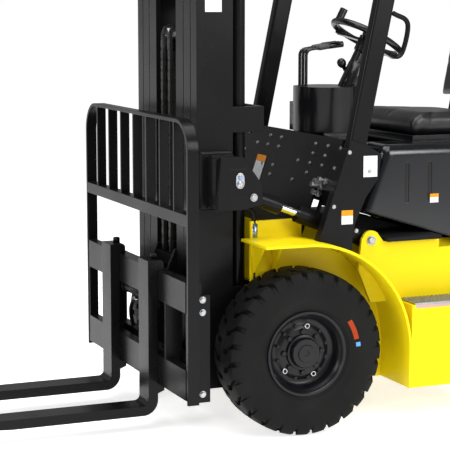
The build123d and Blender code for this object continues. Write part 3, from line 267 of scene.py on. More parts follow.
finishes = {
    "body_paint": finish(
        "yellow_paint", (0.80, 0.62, 0.005), (0.74, 0.57, 0.004), 0.34, 3, 0.03, edge=0.003
    ),
    "black_paint": finish(
        "black_paint", (0.006, 0.006, 0.0065), (0.0035, 0.0035, 0.004), 0.28, 4, 0.12, edge=0.003
    ),
    "rim_paint": finish(
        "rim_paint", (0.006, 0.006, 0.007), (0.003, 0.003, 0.004), 0.32, 9, 0.12, shine=0.25
    ),
    "hood_plastic": finish(
        "hood_plastic", (0.003, 0.004, 0.006), (0.002, 0.002, 0.003), 0.14, 3, 0.04, shine=0.45, edge=0.012
    ),
    "console_plastic": finish(
        "console_plastic", (0.006, 0.006, 0.007), (0.004, 0.004, 0.005), 0.2, 6, 0.1, shine=0.4, edge=0.003
    ),
    "tyre_rubber": finish(
        "tyre_rubber", (0.008, 0.008, 0.008), (0.003, 0.003, 0.003), 0.6, 9, 0.35, shine=0.1
    ),
    "mat_rubber": patterned(
        finish(
            "mat_rubber", (0.008, 0.008, 0.009), (0.004, 0.004, 0.005), 0.5, 7, 0.2
        ), "ribs", 28, 0.7, 0.003
    ),
    "seat_vinyl": patterned(
        finish(
            "seat_vinyl", (0.008, 0.008, 0.009), (0.005, 0.005, 0.006), 0.34, 5, 0.1, shine=0.45
        ), "cells", 420, 0.25, 0.0008
    ),
    # The zinc plate's colour is kept dark, so that it reads as painted shade in the gaps between the step teeth.
    "zinc_steel": patterned(
        finish(
            "zinc_steel", (0.38, 0.40, 0.43), (0.20, 0.22, 0.25), 0.36, 14, 0.15, metallic=1.0
        ), "cells", 90, 0.15, 0.0008
    ),
    "chain_steel": finish(
        "chain_steel", (0.16, 0.155, 0.15), (0.05, 0.05, 0.05), 0.32, 22, 0.2, metallic=0.9
    ),
    "chrome_rod": finish(
        "chrome_rod", (0.60, 0.61, 0.63), (0.52, 0.53, 0.55), 0.12, 8, 0.02, metallic=1.0, spread=0.06
    ),
    "cast_metal": finish(
        "cast_metal", (0.012, 0.012, 0.013), (0.006, 0.006, 0.007), 0.5, 14, 0.5, edge=0.003
    ),
    "lamp_lens": finish("lamp_shell", (0.008, 0.008, 0.009), (0.005, 0.005, 0.006), 0.33, 6, 0.1),
}
clear_lens = finish("clear_lens", (0.75, 0.77, 0.80), (0.62, 0.65, 0.70), 0.12, 30, 0.3)
grey_grip = finish("grey_grip", (0.10, 0.10, 0.11), (0.07, 0.07, 0.075), 0.5, 8, 0.2)
hose_rubber = finish("hose_rubber", (0.009, 0.009, 0.010), (0.005, 0.005, 0.005), 0.4, 12, 0.3)
blue_zinc = finish("blue_zinc", (0.32, 0.42, 0.60), (0.22, 0.30, 0.46), 0.3, 14, 0.1, metallic=1.0)
# A light zinc: real plating on bolts and fittings, and a painted highlight on the step teeth.
bright_zinc_and_tooth_highlight = finish("bright_zinc_and_tooth_highlight", (0.50, 0.51, 0.52), (0.30, 0.31, 0.33), 0.3, 60, 0.1, metallic=1.0)
white_plate = finish("white_plate", (0.66, 0.68, 0.70), (0.58, 0.60, 0.62), 0.4, 6, 0.05)
orange_plate = finish("orange_plate", (0.80, 0.28, 0.01), (0.70, 0.24, 0.01), 0.4, 6, 0.05)
rust_mark = finish("rust_mark", (0.36, 0.04, 0.006), (0.26, 0.03, 0.005), 0.5, 30, 0.2)
blue_plate = finish("blue_plate", (0.10, 0.30, 0.62), (0.08, 0.24, 0.52), 0.4, 6, 0.05)
edge_strip = finish("edge_strip", (0.50, 0.34, 0.30), (0.40, 0.27, 0.25), 0.5, 10, 0.1)

# %% [markdown]
# Every CAD solid takes the finish of its slot in the record.

# %%
slots = {row["node"]: row["material_slot"] for row in frame["record"]["subparts"]}
for node, solid in frame["nodes"].items():
    solid.data.materials.clear()
    solid.data.materials.append(finishes[slots[node]])

# %% [markdown]
# ## Tools for making pieces
# A piece is a mesh that rides on a body. Its points are given in the frame.


# %%
def piece(name, points, faces, material, body=None, smooth=False, slot=None):
    mesh = bpy.data.meshes.new(name)
    mesh.from_pydata([tuple(p) for p in points], [], faces)
    mesh.materials.append(material)
    mesh.update()
    if smooth:
        mesh.shade_smooth()
    made = bpy.data.objects.new(name, mesh)
    scene.collection.objects.link(made)
    if body:
        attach(made, body)
    return made


def joined(parts):
    """One list of points and one of faces from several pairs of them."""
    points, faces = [], []
    for more_points, more_faces in parts:
        start = len(points)
        points += list(more_points)
        faces += [tuple(start + i for i in face) for face in more_faces]
    return points, faces


def turned(profile, centre, axis, segments=64):
    """A profile of (along the axis, radius) points turned about an axis."""
    along = Vector(axis).normalized()
    across = along.orthogonal().normalized()
    other = along.cross(across)
    points = []
    for step, radius in profile:
        for i in range(segments):
            turn = 2 * pi * i / segments
            points.append(Vector(centre) + along * step + (across * cos(turn) + other * sin(turn)) * radius)
    faces = []
    for ring in range(len(profile) - 1):
        for i in range(segments):
            j = (i + 1) % segments
            low, high = ring * segments, (ring + 1) * segments
            faces.append((low + i, low + j, high + j, high + i))
    return points, faces


def bolt(place, direction, size):
    """A hexagon head on a washer."""
    washer = turned(
        [(0, 0), (0, size * 1.25), (size * 0.18, size * 1.25), (size * 0.18, 0)], place, direction, 20
    )
    head = [
        (size * 0.18, 0),
        (size * 0.18, size),
        (size * 0.75, size),
        (size * 0.88, size * 0.84),
        (size * 0.88, 0)
    ]
    return joined([washer, turned(head, place, direction, 6)])


def bolts(name, places, direction, size, material, body):
    points, faces = joined([bolt(place, direction, size) for place in places])
    return piece(name, points, faces, material, body)


def box(low, high):
    """The eight corners and six sides of a box."""
    (x0, y0, z0), (x1, y1, z1) = low, high
    points = [(x, y, z) for z in (z0, z1) for y in (y0, y1) for x in (x0, x1)]
    return points, [(0, 2, 3, 1), (4, 5, 7, 6), (0, 1, 5, 4), (2, 6, 7, 3), (0, 4, 6, 2), (1, 3, 7, 5)]


def softened(made, width, segments=3):
    """Rounds a piece's edges."""
    bevel = made.modifiers.new("rounded", "BEVEL")
    bevel.width = width
    bevel.segments = segments
    bevel.limit_method = "ANGLE"
    bevel.harden_normals = True
    made.data.shade_smooth()
    return made


def hose(name, points, radius, material, body):
    """A line that runs smoothly near its points."""
    curve = bpy.data.curves.new(name, "CURVE")
    curve.dimensions = "3D"
    curve.bevel_depth = radius
    curve.bevel_resolution = 4
    curve.resolution_u = 10
    curve.use_fill_caps = True
    run = curve.splines.new("NURBS")
    run.points.add(len(points) - 1)
    for point, place in zip(run.points, points):
        point.co = (*place, 1)
    run.order_u = 3
    run.use_endpoint_u = True
    curve.materials.append(material)
    made = bpy.data.objects.new(name, curve)
    scene.collection.objects.link(made)
    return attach(made, body)


# %% [markdown]
# ## Tyres
# A tyre is a grid of profile points round the wheel. Between the lugs the profile drops by the lugs' depth.
# The grid's columns slant with the lugs, so that their edges are crisp.
#
# A row of the tread is a share of the half width, a share of the radius, and how much of the depth a gap cuts
# there.

# %%
TREAD = [
    (0.00, 1.000, 0),
    (0.12, 1.000, 0),
    (0.15, 0.999, 1),
    (0.45, 0.998, 1),
    (0.74, 0.992, 1),
    (0.86, 0.978, 1),
    (0.92, 0.955, 0.9),
    (0.965, 0.915, 0.45),
    (0.985, 0.878, 0.15),
    (0.986, 0.842, 0.0),
    (0.990, 0.800, 0),
    (0.995, 0.750, 0),
    (0.985, 0.700, 0),
    (0.965, 0.660, 0),
    (0.955, 0.655, 0),
    (0.925, 0.610, 0),
    (0.885, 0.575, 0),
    (0.865, 0.572, 0),
    (0.830, 0.545, 0),
    (0.810, 0.520, 0),
]
LUG_COLUMNS = [
    (0.00, 1), (0.03, 1), (0.22, 1), (0.42, 1), (0.62, 1), (0.68, 1), (0.720, 0), (0.83, 0), (0.960, 0)
]
BEAD_REACH = 0.52
SHOULDER = 0.9
LEAN_SHARES = (0.15, 0.45, 0.74, 0.92)
LEAN_TURNS = (0.0, 0.1, 0.9, 1.0)
LUG_CREASE = 28
TYRE_MARGIN = 0.0005


def tyre(name, node, body, count, depth, slant, bead):
    low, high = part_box(node)
    centre = (low + high) / 2
    radius = (high.z - low.z) / 2 - TYRE_MARGIN
    half = (high.x - low.x) / 2 - TYRE_MARGIN
    rim = bead / radius
    rows = []
    for share, reach, cut in TREAD:
        reach = rim + (reach - BEAD_REACH) * (1 - rim) / (1 - BEAD_REACH)
        rows.append((share, reach, cut))
    points, faces = [], []
    for side in (-1, 1):
        start = len(points)
        for share, reach, cut in rows:
            for lug in range(count):
                for place, top in LUG_COLUMNS:
                    drop = 0 if top else depth * cut
                    inward = drop if share < SHOULDER else drop * 0.55
                    sideways = 0 if share < SHOULDER else drop * 0.45
                    lean = np.interp(share, LEAN_SHARES, LEAN_TURNS) * slant
                    turn = 2 * pi * (lug + place + lean + (0.5 if side > 0 else 0)) / count
                    r = radius * reach - inward
                    x = side * (half * share - sideways)
                    points.append(centre + Vector((x, r * sin(turn), r * cos(turn))))
        columns = count * len(LUG_COLUMNS)
        for row in range(len(rows) - 1):
            for i in range(columns):
                j = (i + 1) % columns
                a, b = start + row * columns, start + (row + 1) * columns
                quad = (a + i, a + j, b + j, b + i)
                faces.append(quad if side < 0 else quad[::-1])
    made = piece(name, points, faces, finishes["tyre_rubber"], body, slot="tyre_rubber")
    made.data.shade_smooth()
    made.data.set_sharp_from_angle(angle=radians(LUG_CREASE))
    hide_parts(node)
    return made


for side in ("left", "right"):
    tyre(f"tread_front_{side}", f"tyre_front_{side}", f"wheel_front_{side}", 28, 0.014, 0.45, FRONT_BEAD)
    tyre(f"tread_rear_{side}", f"tyre_rear_{side}", f"wheel_rear_{side}", 26, 0.012, 0.45, REAR_BEAD)

# %% [markdown]
# ## Wheels
# A rim is a turned dish with a locking ring. The hub's cap and nuts stand in the middle.


# %%
def wheel_disc(name, node, body, centre, side, scale, half, cap):
    """Profile points are shares of the front wheel's sizes, out from the wheel's middle."""
    ring = [
        (half + 0.012, 0.139),
        (half + 0.0155, 0.142),
        (half + 0.0155, 0.150),
        (half + 0.010, 0.152),
        (half + 0.004, 0.147),
    ]
    dish = [
        (half + 0.012, 0.139),
        (half + 0.004, 0.136),
        (half - 0.002, 0.130),
        (half - 0.010, 0.127),
        (0.036, 0.124),
        (0.028, 0.118),
        (0.024, 0.106),
        (0.026, 0.098),
        (0.034, 0.090),
        (0.036, 0.080),
        (0.036, 0.0),
    ]
    axis = (side, 0, 0)
    parts = []
    for profile in (ring, dish):
        parts.append(turned([(along, radius * scale) for along, radius in profile], centre, axis, 96))
    back = [(along * -1, radius) for along, radius in ring]
    parts.append(turned([(along, radius * scale) for along, radius in back], centre, axis, 96))
    barrel = [
        (-half - 0.004, 0.146), (-half - 0.012, 0.139), (-half + 0.01, 0.130), (0.010, 0.122), (0.0, 0.05)
    ]
    parts.append(turned([(along, radius * scale) for along, radius in barrel], centre, axis, 96))
    steps = [
        (0.036, 0.064),
        (0.046, 0.062),
        (0.048, 0.055),
        (cap - 0.008, 0.053),
        (cap - 0.004, 0.050),
        (cap - 0.004, 0.032),
        (cap, 0.030),
        (cap, 0.010),
        (cap - 0.003, 0.008),
        (cap - 0.003, 0.0),
    ]
    parts.append(turned([(along, radius * scale) for along, radius in steps], centre, axis, 48))
    points, faces = joined(parts)
    made = piece(name, points, faces, finishes["rim_paint"], body, smooth=True, slot="rim_paint")
    made.data.set_sharp_from_angle(angle=radians(35))
    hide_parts(node)


def on_ring(centre, side, along, radius, count, start=0.0):
    """Places spaced round a wheel's face."""
    turns = [start + 2 * pi * i / count for i in range(count)]
    return [Vector(centre) + Vector((side * along, radius * cos(t), radius * sin(t))) for t in turns]


for side, label in SIDES:
    front = at(side * FRONT_HALF_TREAD, 0, FRONT_RADIUS)
    rear = at(side * REAR_HALF_TREAD, WHEELBASE, REAR_RADIUS)
    body = f"wheel_front_{label}"
    wheel_disc(f"disc_front_{label}", f"rim_front_{label}", body, front, side, 1.0, 0.063, 0.074)
    hub = on_ring(front, side, 0.036, 0.073, 8)
    bolts(f"hub_nuts_front_{label}", hub, (side, 0, 0), 0.0105, finishes["rim_paint"], body)
    caps = [front + Vector((side * 0.030, 0.093 * cos(t), 0.093 * sin(t))) for t in (1.38, 3.9, 5.2)]
    nut = [(0.0, 0.0105), (0.007, 0.0105), (0.0085, 0.009), (0.0085, 0.0065), (0.002, 0.006)]
    points, faces = joined([turned(nut, place, (side, 0, 0), 12) for place in caps])
    piece(f"rim_nuts_front_{label}", points, faces, bright_zinc_and_tooth_highlight, body)
    small = on_ring(front, side, 0.030, 0.096, 12, pi / 12)
    bolts(f"rim_bolts_front_{label}", small, (side, 0, 0), 0.0062, finishes["rim_paint"], body)
    body = f"wheel_rear_{label}"
    wheel_disc(f"disc_rear_{label}", f"rim_rear_{label}", body, rear, side, 0.78, 0.047, 0.052)
    hub = on_ring(rear, side, 0.036, 0.056, 6)
    bolts(f"hub_nuts_rear_{label}", hub, (side, 0, 0), 0.009, bright_zinc_and_tooth_highlight, body)

# %% [markdown]
# ## Chains
# A leaf chain is a row of plates on pins. Each straight run is a fixed piece on no body, and each bend rides on one
# body.

# %%
PITCH = 0.01905
PLATE_HALF = 0.0072
PLATE_THICK = 0.0024
OUTER_PLATES = (-0.0072, 0.0, 0.0072)
INNER_PLATES = (-0.0046, 0.0046)


def link_plate(x, start, end):
    """One link plate between two pins, as points and faces; start and end are (y, z)."""
    a, b = Vector(start), Vector(end)
    along = (b - a).normalized()
    across = Vector((-along.y, along.x))
    outline = []
    for centre, sign in ((b, 1), (a, -1)):
        for step in range(6):
            turn = -pi / 2 + pi * step / 5
            outline.append(
                centre + along * sign * cos(turn) * PLATE_HALF + across * sign * sin(turn) * PLATE_HALF
            )
    count = len(outline)
    points = [(x + edge * PLATE_THICK / 2, p.x, p.y) for edge in (-1, 1) for p in outline]
    faces = [tuple(range(count))[::-1], tuple(range(count, 2 * count))]
    faces += [(i, (i + 1) % count, count + (i + 1) % count, count + i) for i in range(count)]
    return points, faces


def chain_parts(x, pins):
    parts = []
    for index, (start, end) in enumerate(zip(pins, pins[1:])):
        for offset in OUTER_PLATES if index % 2 else INNER_PLATES:
            parts.append(link_plate(x + offset, start, end))
    for y, z in pins:
        pin = turned(
            [(-0.0088, 0.0), (-0.0088, 0.003), (0.0088, 0.003), (0.0088, 0.0)], (x, y, z), (1, 0, 0), 8
        )
        parts.append(pin)
    return parts


def chain_run(name, node, xs, behind, low, high):
    count = int((high - low - 2 * PLATE_HALF) / PITCH)
    step = (high - low - 2 * PLATE_HALF) / count
    pins = [(AXLE_Y + behind, low + PLATE_HALF + step * i) for i in range(count + 1)]
    parts = []
    for x in xs:
        parts += chain_parts(x, pins)
    made = piece(name, *joined(parts), finishes["chain_steel"], slot="chain_steel")
    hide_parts(node)
    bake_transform(made)


chain_run(
    "rising_stage_chain",
    "stage_chain_rise",
    (-0.12, 0.12),
    -0.104,
    1.1503,
    1.79,
)
chain_run(
    "falling_stage_chain",
    "stage_chain_fall",
    (-0.12, 0.12),
    -0.174,
    0.2073,
    1.79,
)
chain_run(
    "rising_lift_chain", "lift_chain_rise", (-0.036, 0.036), -0.266, 0.7403, 1.4
)
chain_run(
    "falling_lift_chain", "lift_chain_fall", (-0.036, 0.036), -0.322, 0.6003, 1.4
)


def chain_bend(name, xs, behind, height, radius, body):
    count = max(3, int(pi * radius / PITCH))
    turns = [pi * i / count for i in range(count + 1)]
    pins = [(AXLE_Y + behind - radius * cos(t), height + radius * sin(t)) for t in turns]
    parts = []
    for x in xs:
        parts += chain_parts(x, pins)
    piece(name, *joined(parts), finishes["chain_steel"], body, slot="chain_steel")


chain_bend("stage_chain_bend", (-0.12, 0.12), -0.139, 1.79, 0.035, "middle_mast")
chain_bend("lift_chain_bend", (-0.036, 0.036), -0.294, 1.4, 0.028, "lift_head")

# %% [markdown]
# ## Bolts, plates and fittings
# The near side's bolts are zinc plated. Plates that carry words on a real truck are blank here.

# %%
for side, label in SIDES:
    outward = (side, 0, 0)
    places = [at(side * 0.442, -0.362, z) for z in (0.50, 0.456, 0.168)]
    bolts(f"carriage_bolts_{label}", places, outward, 0.0095, bright_zinc_and_tooth_highlight, "carriage")
    places = [at(side * 0.418, -0.160, 0.842)]
    bolts(f"tilt_eye_bolt_{label}", places, outward, 0.011, bright_zinc_and_tooth_highlight, "outer_mast")
    places = [at(side * 0.42, 0.300, 0.665)]
    bolts(f"tilt_pin_bolt_{label}", places, outward, 0.014, bright_zinc_and_tooth_highlight, "chassis")
    places = [at(side * 0.458, d, z) for d, z in ((0.13, 0.80), (0.27, 0.92), (0.19, 0.99), (0.22, 0.71))]
    bolts(f"cowl_side_bolts_{label}", places, outward, 0.006, bright_zinc_and_tooth_highlight, "chassis")

def keeper(name, x, behind, height, side, body):
    """A tear-shaped keeper plate with a bolt and a grease fitting."""
    outline = []
    count = 24
    for step in range(count):
        turn = 2 * pi * step / count
        reach = 0.018 if cos(turn) < 0 else 0.018 + 0.020 * cos(turn) ** 3
        outline.append((0.9 * reach * sin(turn), reach * cos(turn)))
    points = [at(x + side * t, behind + y, height + z) for t in (0, 0.004) for y, z in outline]
    faces = [tuple(range(count))[::side], tuple(range(count, 2 * count))[::-side]]
    faces += [(i, (i + 1) % count, count + (i + 1) % count, count + i)[::-side] for i in range(count)]
    softened(piece(name, points, faces, bright_zinc_and_tooth_highlight, body), 0.001, 2)
    bolts(
        f"{name}_bolt", [at(x + side * 0.004, behind, height + 0.020)], (side, 0, 0), 0.007, blue_zinc, body
    )
    ring = [(0, 0.011), (0.005, 0.011), (0.007, 0.008), (0.007, 0.0)]
    piece(
        f"{name}_pin",
        *turned(ring, at(x + side * 0.004, behind, height - 0.002), (side, 0, 0), 24),
        bright_zinc_and_tooth_highlight,
        body
    )


for side, label in SIDES:
    ends = sorted((side * 0.3962, side * 0.408))
    boss = box(at(ends[0], -0.283, 0.822), at(ends[1], -0.185, 0.968))
    inner = sorted((side * 0.3965, side * 0.4165))
    cap = box(at(inner[0], -0.262, 0.836), at(inner[1], -0.176, 0.950))
    foot = sorted((side * 0.3003, side * 0.318))
    flange = box(at(foot[0], -0.320, 0.792), at(foot[1], -0.194, 0.998))
    softened(piece(f"eye_flange_{label}", *flange, finishes["black_paint"], "outer_mast"), 0.008)
    softened(piece(f"eye_casting_{label}", *boss, finishes["black_paint"], "outer_mast"), 0.005)
    softened(piece(f"eye_cap_{label}", *cap, finishes["black_paint"], "outer_mast"), 0.009)
    keeper(f"eye_keeper_{label}", side * 0.4165, -0.212, 0.893, side, "outer_mast")

# The rod's eye end is a black sleeve that clamps the chrome rod.
for side, label in SIDES:
    eye = at(side * TILT_X, -0.150, 0.842)
    run = (at(side * TILT_X, 0.300, 0.665) - eye).normalized()
    sleeve = [(0.0, 0.0), (0.03, 0.027), (0.075, 0.0295), (0.120, 0.0295), (0.122, 0.0275), (0.122, 0.0)]
    made = piece(
        f"tilt_sleeve_{label}",
        *turned(sleeve, eye, run, 40),
        finishes["black_paint"],
        f"tilt_rod_{label}",
        True
    )
    made.data.set_sharp_from_angle(angle=radians(35))

rng = np.random.default_rng(4)
front_tilt = Vector((0, -0.944, 0.328))
cowl_places = []
for height in np.linspace(0.86, 1.0, 5):
    for x in np.linspace(-0.40, 0.40, 9):
        if rng.random() < 0.6:
            cowl_places.append(at(x, 0.0745 + 0.348 * (height - 0.685), height))
bolts("cowl_front_bolts", cowl_places, front_tilt, 0.006, bright_zinc_and_tooth_highlight, "chassis")


def plate(name, low, high, material, body):
    return softened(piece(name, *box(low, high), material, body), 0.0002, 1)


plate("cowl_card", at(0.4583, 0.245, 0.90), at(0.4590, 0.300, 0.975), white_plate, "chassis")
plate("cowl_card_low", at(0.4583, 0.160, 0.735), at(0.4590, 0.205, 0.765), white_plate, "chassis")
plate("cowl_card_band", at(0.4583, 0.160, 0.765), at(0.4590, 0.205, 0.785), orange_plate, "chassis")
plate("hood_card", at(0.3622, 0.572, 0.782), at(0.3628, 0.608, 0.802), white_plate, "hood_seat")
plate("hood_card_band", at(0.3622, 0.572, 0.802), at(0.3628, 0.608, 0.815), orange_plate, "hood_seat")
plate("mast_card", at(0.3003, -0.294, 1.480), at(0.3009, -0.232, 1.545), white_plate, "outer_mast")

# %% [markdown]
# ## Hoses
# Hydraulic hoses run down the mast and loop on the carriage between their fittings.

# %%
lower = [
    at(x, 0.0735 + 0.348 * (z - 0.685), z) for x,
    z in ((-0.262, 0.817), (-0.178, 0.817), (-0.178, 0.898), (-0.262, 0.898))
]
upper = [
    at(x, 0.0735 + 0.348 * (z - 0.685), z) for x,
    z in ((-0.262, 0.898), (-0.178, 0.898), (-0.178, 0.923), (-0.262, 0.923))
]
piece("cowl_front_card", lower, [(0, 1, 2, 3)], white_plate, "chassis")
piece("cowl_front_band", upper, [(0, 1, 2, 3)], orange_plate, "chassis")

# %% [markdown]
# Tyre sidewalls carry two small blank marks.

# %%
def sidewall(radius, tyre_radius, half, bead):
    """How far out the sidewall stands at a radius."""
    rim = bead / tyre_radius
    raw = 0.52 + (radius / tyre_radius - rim) * 0.48 / (1 - rim)
    shares = [(reach, share) for share, reach, _ in TREAD if reach < 0.86][::-1]
    return half * np.interp(raw, [r for r, _ in shares], [v for _, v in shares])


def sidewall_mark(name, side, low, high, start, end, material):
    points = []
    for radius in np.linspace(low, high, 5):
        out = 0.445 + sidewall(radius, 0.2945, 0.0880, 0.147) + 0.0006
        for turn in np.linspace(start, end, 9):
            points.append(at(side * out, radius * cos(turn), 0.295 + radius * sin(turn)))
    faces = [(r * 9 + c, r * 9 + c + 1, r * 9 + c + 10, r * 9 + c + 9) for r in range(4) for c in range(8)]
    body = "wheel_front_left" if side > 0 else "wheel_front_right"
    piece(name, points, faces if side > 0 else [f[::-1] for f in faces], material, body, smooth=True)


for side, label in SIDES:
    sidewall_mark(f"tyre_mark_{label}", side, 0.184, 0.201, radians(12), radians(34), rust_mark)
    sidewall_mark(f"tyre_mark_low_{label}", side, 0.188, 0.204, radians(4), radians(8.5), blue_plate)

hose(
    "mast_hose_left",
    [at(0.205, -0.128, z) for z in (1.9, 1.5, 1.1, 0.7, 0.45)],
    0.010,
    hose_rubber,
    "outer_mast"
)
loops = [
    (
        "carriage_hose_a",
        [(-0.20, 0.40), (-0.24, 0.38), (-0.27, 0.33), (-0.22, 0.27), (-0.15, 0.28), (-0.13, 0.34)]
    ),
    (
        "carriage_hose_b",
        [(0.13, 0.45), (0.16, 0.44), (0.20, 0.38), (0.22, 0.30), (0.20, 0.25), (0.15, 0.26)]
    ),
]
for name, run in loops:
    hose(name, [at(x, -0.378, z) for x, z in run], 0.0075, hose_rubber, "carriage")
    for end, (x, z) in enumerate((run[0], run[-1])):
        fitting = turned(
            [(-0.016, 0), (-0.016, 0.011), (0.016, 0.011), (0.016, 0)], at(x, -0.378, z), (1, 0, 0.3), 6
        )
        piece(f"{name}_end_{end}", *fitting, bright_zinc_and_tooth_highlight, "carriage")

hose(
    "bracket_hose",
    [
        at(0.312, d, z) for d,
        z in ((-0.15, 0.792), (-0.118, 0.788), (-0.112, 0.74), (-0.112, 0.60), (-0.12, 0.40))
    ],
    0.009,
    hose_rubber,
    "outer_mast"
)
fitting = [(0.0, 0.0), (0.0, 0.0125), (0.05, 0.0125), (0.052, 0.0105), (0.085, 0.0105), (0.085, 0.0)]
piece(
    "bracket_hose_fitting",
    *turned(fitting, at(0.312, -0.112, 0.735), (0, 0, -1), 20),
    blue_zinc,
    "outer_mast",
    True
)
valve = []
for x, z, tall in (
    (0.330, 0.872, 0.030), (0.350, 0.858, 0.045), (0.372, 0.880, 0.036), (0.345, 0.835, 0.030)
):
    base = at(x, 0.0745 + 0.348 * (z - 0.685), z)
    fitting = [
        (0, 0.012),
        (0.008, 0.012),
        (0.009, 0.008),
        (tall - 0.01, 0.008),
        (tall - 0.009, 0.010),
        (tall, 0.010),
        (tall, 0)
    ]
    valve.append(turned(fitting, base, front_tilt, 12))
piece("valve_fittings", *joined(valve), bright_zinc_and_tooth_highlight, "chassis", smooth=True).data.set_sharp_from_angle(angle=radians(30))
block = box(at(0.300, 0.158, 0.785), at(0.425, 0.200, 0.905))
softened(piece("valve_block", *block, finishes["cast_metal"], "chassis"), 0.004)
shift_barrel = [
    (0, 0),
    (0, 0.024),
    (0.02, 0.024),
    (0.02, 0.021),
    (0.36, 0.021),
    (0.36, 0.025),
    (0.385, 0.025),
    (0.385, 0)
]
made = piece(
    "shift_barrel",
    *turned(shift_barrel, at(-0.262, -0.392, 0.437), (1, 0, 0), 32),
    finishes["black_paint"],
    "carriage",
    True
)
made.data.set_sharp_from_angle(angle=radians(35))
piece(
    "shift_rod",
    *turned([(0, 0), (0, 0.010), (0.16, 0.010), (0.16, 0)], at(0.12, -0.392, 0.437), (1, 0, 0), 24),
    finishes["chrome_rod"],
    "carriage",
    True
)

# %% [markdown]
# ## Controls and handles

# %%
grab = [
    (0.372, 1.475),
    (0.385, 1.468),
    (0.424, 1.455),
    (0.436, 1.430),
    (0.425, 1.37),
    (0.405, 1.318),
    (0.385, 1.322)
]
hose("grab_handle", [at(GUARD_X, d, z) for d, z in grab], 0.009, finishes["black_paint"], "chassis")
column_run = Vector((0, 0.152, 0.326)).normalized()
cover_base = at(0, 0.4115, 1.172)
cover = [(0.0, 0.026), (0.0, 0.042), (0.004, 0.045), (0.112, 0.040), (0.120, 0.036), (0.120, 0.024)]
made = piece(
    "column_cover", *turned(cover, cover_base, column_run, 40), finishes["console_plastic"], "chassis", True
)
made.data.set_sharp_from_angle(angle=radians(40))
collar = [(0.0, 0.023), (0.0, 0.031), (0.012, 0.033), (0.026, 0.033), (0.034, 0.029), (0.034, 0.023)]
piece(
    "column_collar",
    *turned(collar, cover_base + column_run * 0.155, column_run, 40),
    finishes["console_plastic"],
    "chassis",
    True
)
knob = [
    (0, 0),
    (0.0, 0.008),
    (0.030, 0.008),
    (0.034, 0.013),
    (0.046, 0.018),
    (0.058, 0.016),
    (0.066, 0.008),
    (0.067, 0)
]
knob_base = cover_base + column_run * 0.075 + Vector((-0.030, -0.015, 0))
piece(
    "console_knob",
    *turned(knob, knob_base, (-0.35, -0.45, 1), 32),
    finishes["console_plastic"],
    "chassis",
    True
)
for index in range(3):
    x = -0.188 + 0.029 * index
    grip = [(0, 0), (0, 0.0085), (0.006, 0.0105), (0.05, 0.0105), (0.058, 0.0085), (0.062, 0)]
    start = at(x, 0.352, 1.3375)
    run = at(x, 0.400, 1.345) - start
    piece(f"lever_grip_{index}", *turned(grip, start, run, 24), grey_grip, "chassis", True)
for side, label in SIDES:
    catch = [(0, 0), (0, 0.013), (0.016, 0.013), (0.020, 0.010), (0.020, 0)]
    place = at(side * 0.206, -0.452, 0.615)
    piece(
        f"fork_catch_{label}",
        *turned(catch, place, (0, 0, 1), 20),
        finishes["black_paint"],
        f"fork_{label}",
        True
    )

# %% [markdown]
# ## Lamps and steps

# %%
for side, label in SIDES:
    centre = at(side * 0.425, 0.403 - 0.060 - 0.050, 1.85)
    lens = [(0.0, 0.0), (0.003, 0.020), (0.002, 0.040), (-0.002, 0.050)]
    piece(
        f"work_lens_{label}",
        *turned([(-a * 0.5, r) for a, r in lens], centre, (0, 1, 0), 40),
        clear_lens,
        "chassis",
        True
    )

# %% [markdown]
# The steps have rows of raised teeth. The teeth are a lighter zinc than the plate under them: a painted highlight
# on the teeth and painted shade between them.

# %%
teeth = []
for side in (-1, 1):
    for row in range(6):
        for column in range(22):
            place = at(side * (0.435 + 0.016 * row), 0.43 + 0.0165 * column, 0.4463)
            ring = [(0.0, 0.0068), (0.004, 0.0055), (0.004, 0.0036), (0.0, 0.0032)]
            teeth.append(turned(ring, place, (0, 0, 1), 8))
piece("step_teeth", *joined(teeth), bright_zinc_and_tooth_highlight, "chassis")

for side, label in SIDES:
    ends = sorted((side * 0.5352, side * 0.5358))
    strip = box(at(ends[0], 0.424, 0.428), at(ends[1], 0.796, 0.440))
    piece(f"step_edge_{label}", *strip, edge_strip, "chassis")

# %% [markdown]
# ## Seat
# Each cushion starts as a rounded block a little smaller than its solid. Cloth with air pressure crowns it, and its
# points may move only a short way.


# %%
def rounded_block(name, outline, half, radius):
    """An outline of (behind, height) points drawn out to both sides, with rounded edges."""
    mesh = bpy.data.meshes.new(name)
    form = bmesh.new()
    near = [form.verts.new(at(half, d, z)) for d, z in outline]
    far = [form.verts.new(at(-half, d, z)) for d, z in outline]
    form.faces.new(near)
    form.faces.new(far[::-1])
    for i in range(len(outline)):
        j = (i + 1) % len(outline)
        form.faces.new((near[j], near[i], far[i], far[j]))
    bmesh.ops.recalc_face_normals(form, faces=form.faces)
    bmesh.ops.bevel(
        form, geom=form.edges[:], offset=radius, segments=4, profile=0.5, affect="EDGES", clamp_overlap=True
    )
    form.to_mesh(mesh)
    form.free()
    made = bpy.data.objects.new(name, mesh)
    scene.collection.objects.link(made)
    return made


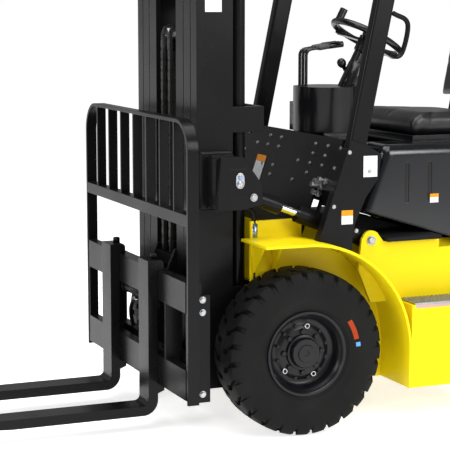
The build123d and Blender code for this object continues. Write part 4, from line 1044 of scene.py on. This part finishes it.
def inflated(made, reach):
    """Remeshes a block, blows it up as cloth and keeps every point within reach of where it was."""
    bpy.context.view_layer.objects.active = made
    made.select_set(True)
    remesh = made.modifiers.new("even", "REMESH")
    remesh.mode = "VOXEL"
    remesh.voxel_size = 0.006
    bpy.ops.object.modifier_apply(modifier="even")
    rest = np.array([v.co for v in made.data.vertices])
    cloth = made.modifiers.new("air", "CLOTH")
    cloth.settings.use_pressure = True
    cloth.settings.uniform_pressure_force = 4
    cloth.settings.effector_weights.gravity = 0
    for moment in range(1, 21):
        scene.frame_set(moment)
    blown = made.evaluated_get(bpy.context.evaluated_depsgraph_get())
    moved = np.array([v.co for v in blown.data.vertices]) - rest
    made.modifiers.remove(cloth)
    length = np.linalg.norm(moved, axis=1, keepdims=True)
    moved *= np.minimum(1, reach / np.maximum(length, 1e-9))
    made.data.vertices.foreach_set("co", (rest + moved).ravel())
    scene.frame_set(1)
    smooth = made.modifiers.new("finer", "SUBSURF")
    smooth.levels = smooth.render_levels = 1
    bpy.ops.object.modifier_apply(modifier="finer")
    made.data.shade_smooth()
    made.select_set(False)


cushion = rounded_block(
    "seat_pad",
    [(0.570, 1.024), (0.566, 1.074), (0.604, 1.096), (0.952, 1.081), (0.956, 1.024)],
    0.228,
    0.020
)
inflated(cushion, 0.010)
rest = rounded_block(
    "seat_rest",
    [(0.945, 1.138), (0.975, 1.138), (1.030, 1.440), (1.016, 1.452), (0.998, 1.440)],
    0.212,
    0.010
)
inflated(rest, 0.007)
for made, node in ((cushion, "seat_cushion"), (rest, "seat_back")):
    made.data.materials.append(finishes["seat_vinyl"])
    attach(made, "hood_seat")
    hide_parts(node)

# %% [markdown]
# ## Floor
# A white floor runs far past the view. It gives off a little light, so that shadows on it stay pale.

# %%
floor_finish = finish("floor", (0.90, 0.90, 0.90), (0.88, 0.88, 0.88), 0.7, 0.6, 0.02)
floor_finish.node_tree.nodes["Principled BSDF"].inputs["Emission Color"].default_value = (1, 1, 1, 1)
floor_finish.node_tree.nodes["Principled BSDF"].inputs["Emission Strength"].default_value = 0.72
corners = [(x, y, -0.0005) for x, y in ((-600, -600), (600, -600), (600, 600), (-600, 600))]
floor = piece("floor", corners, [(0, 1, 2, 3)], floor_finish)
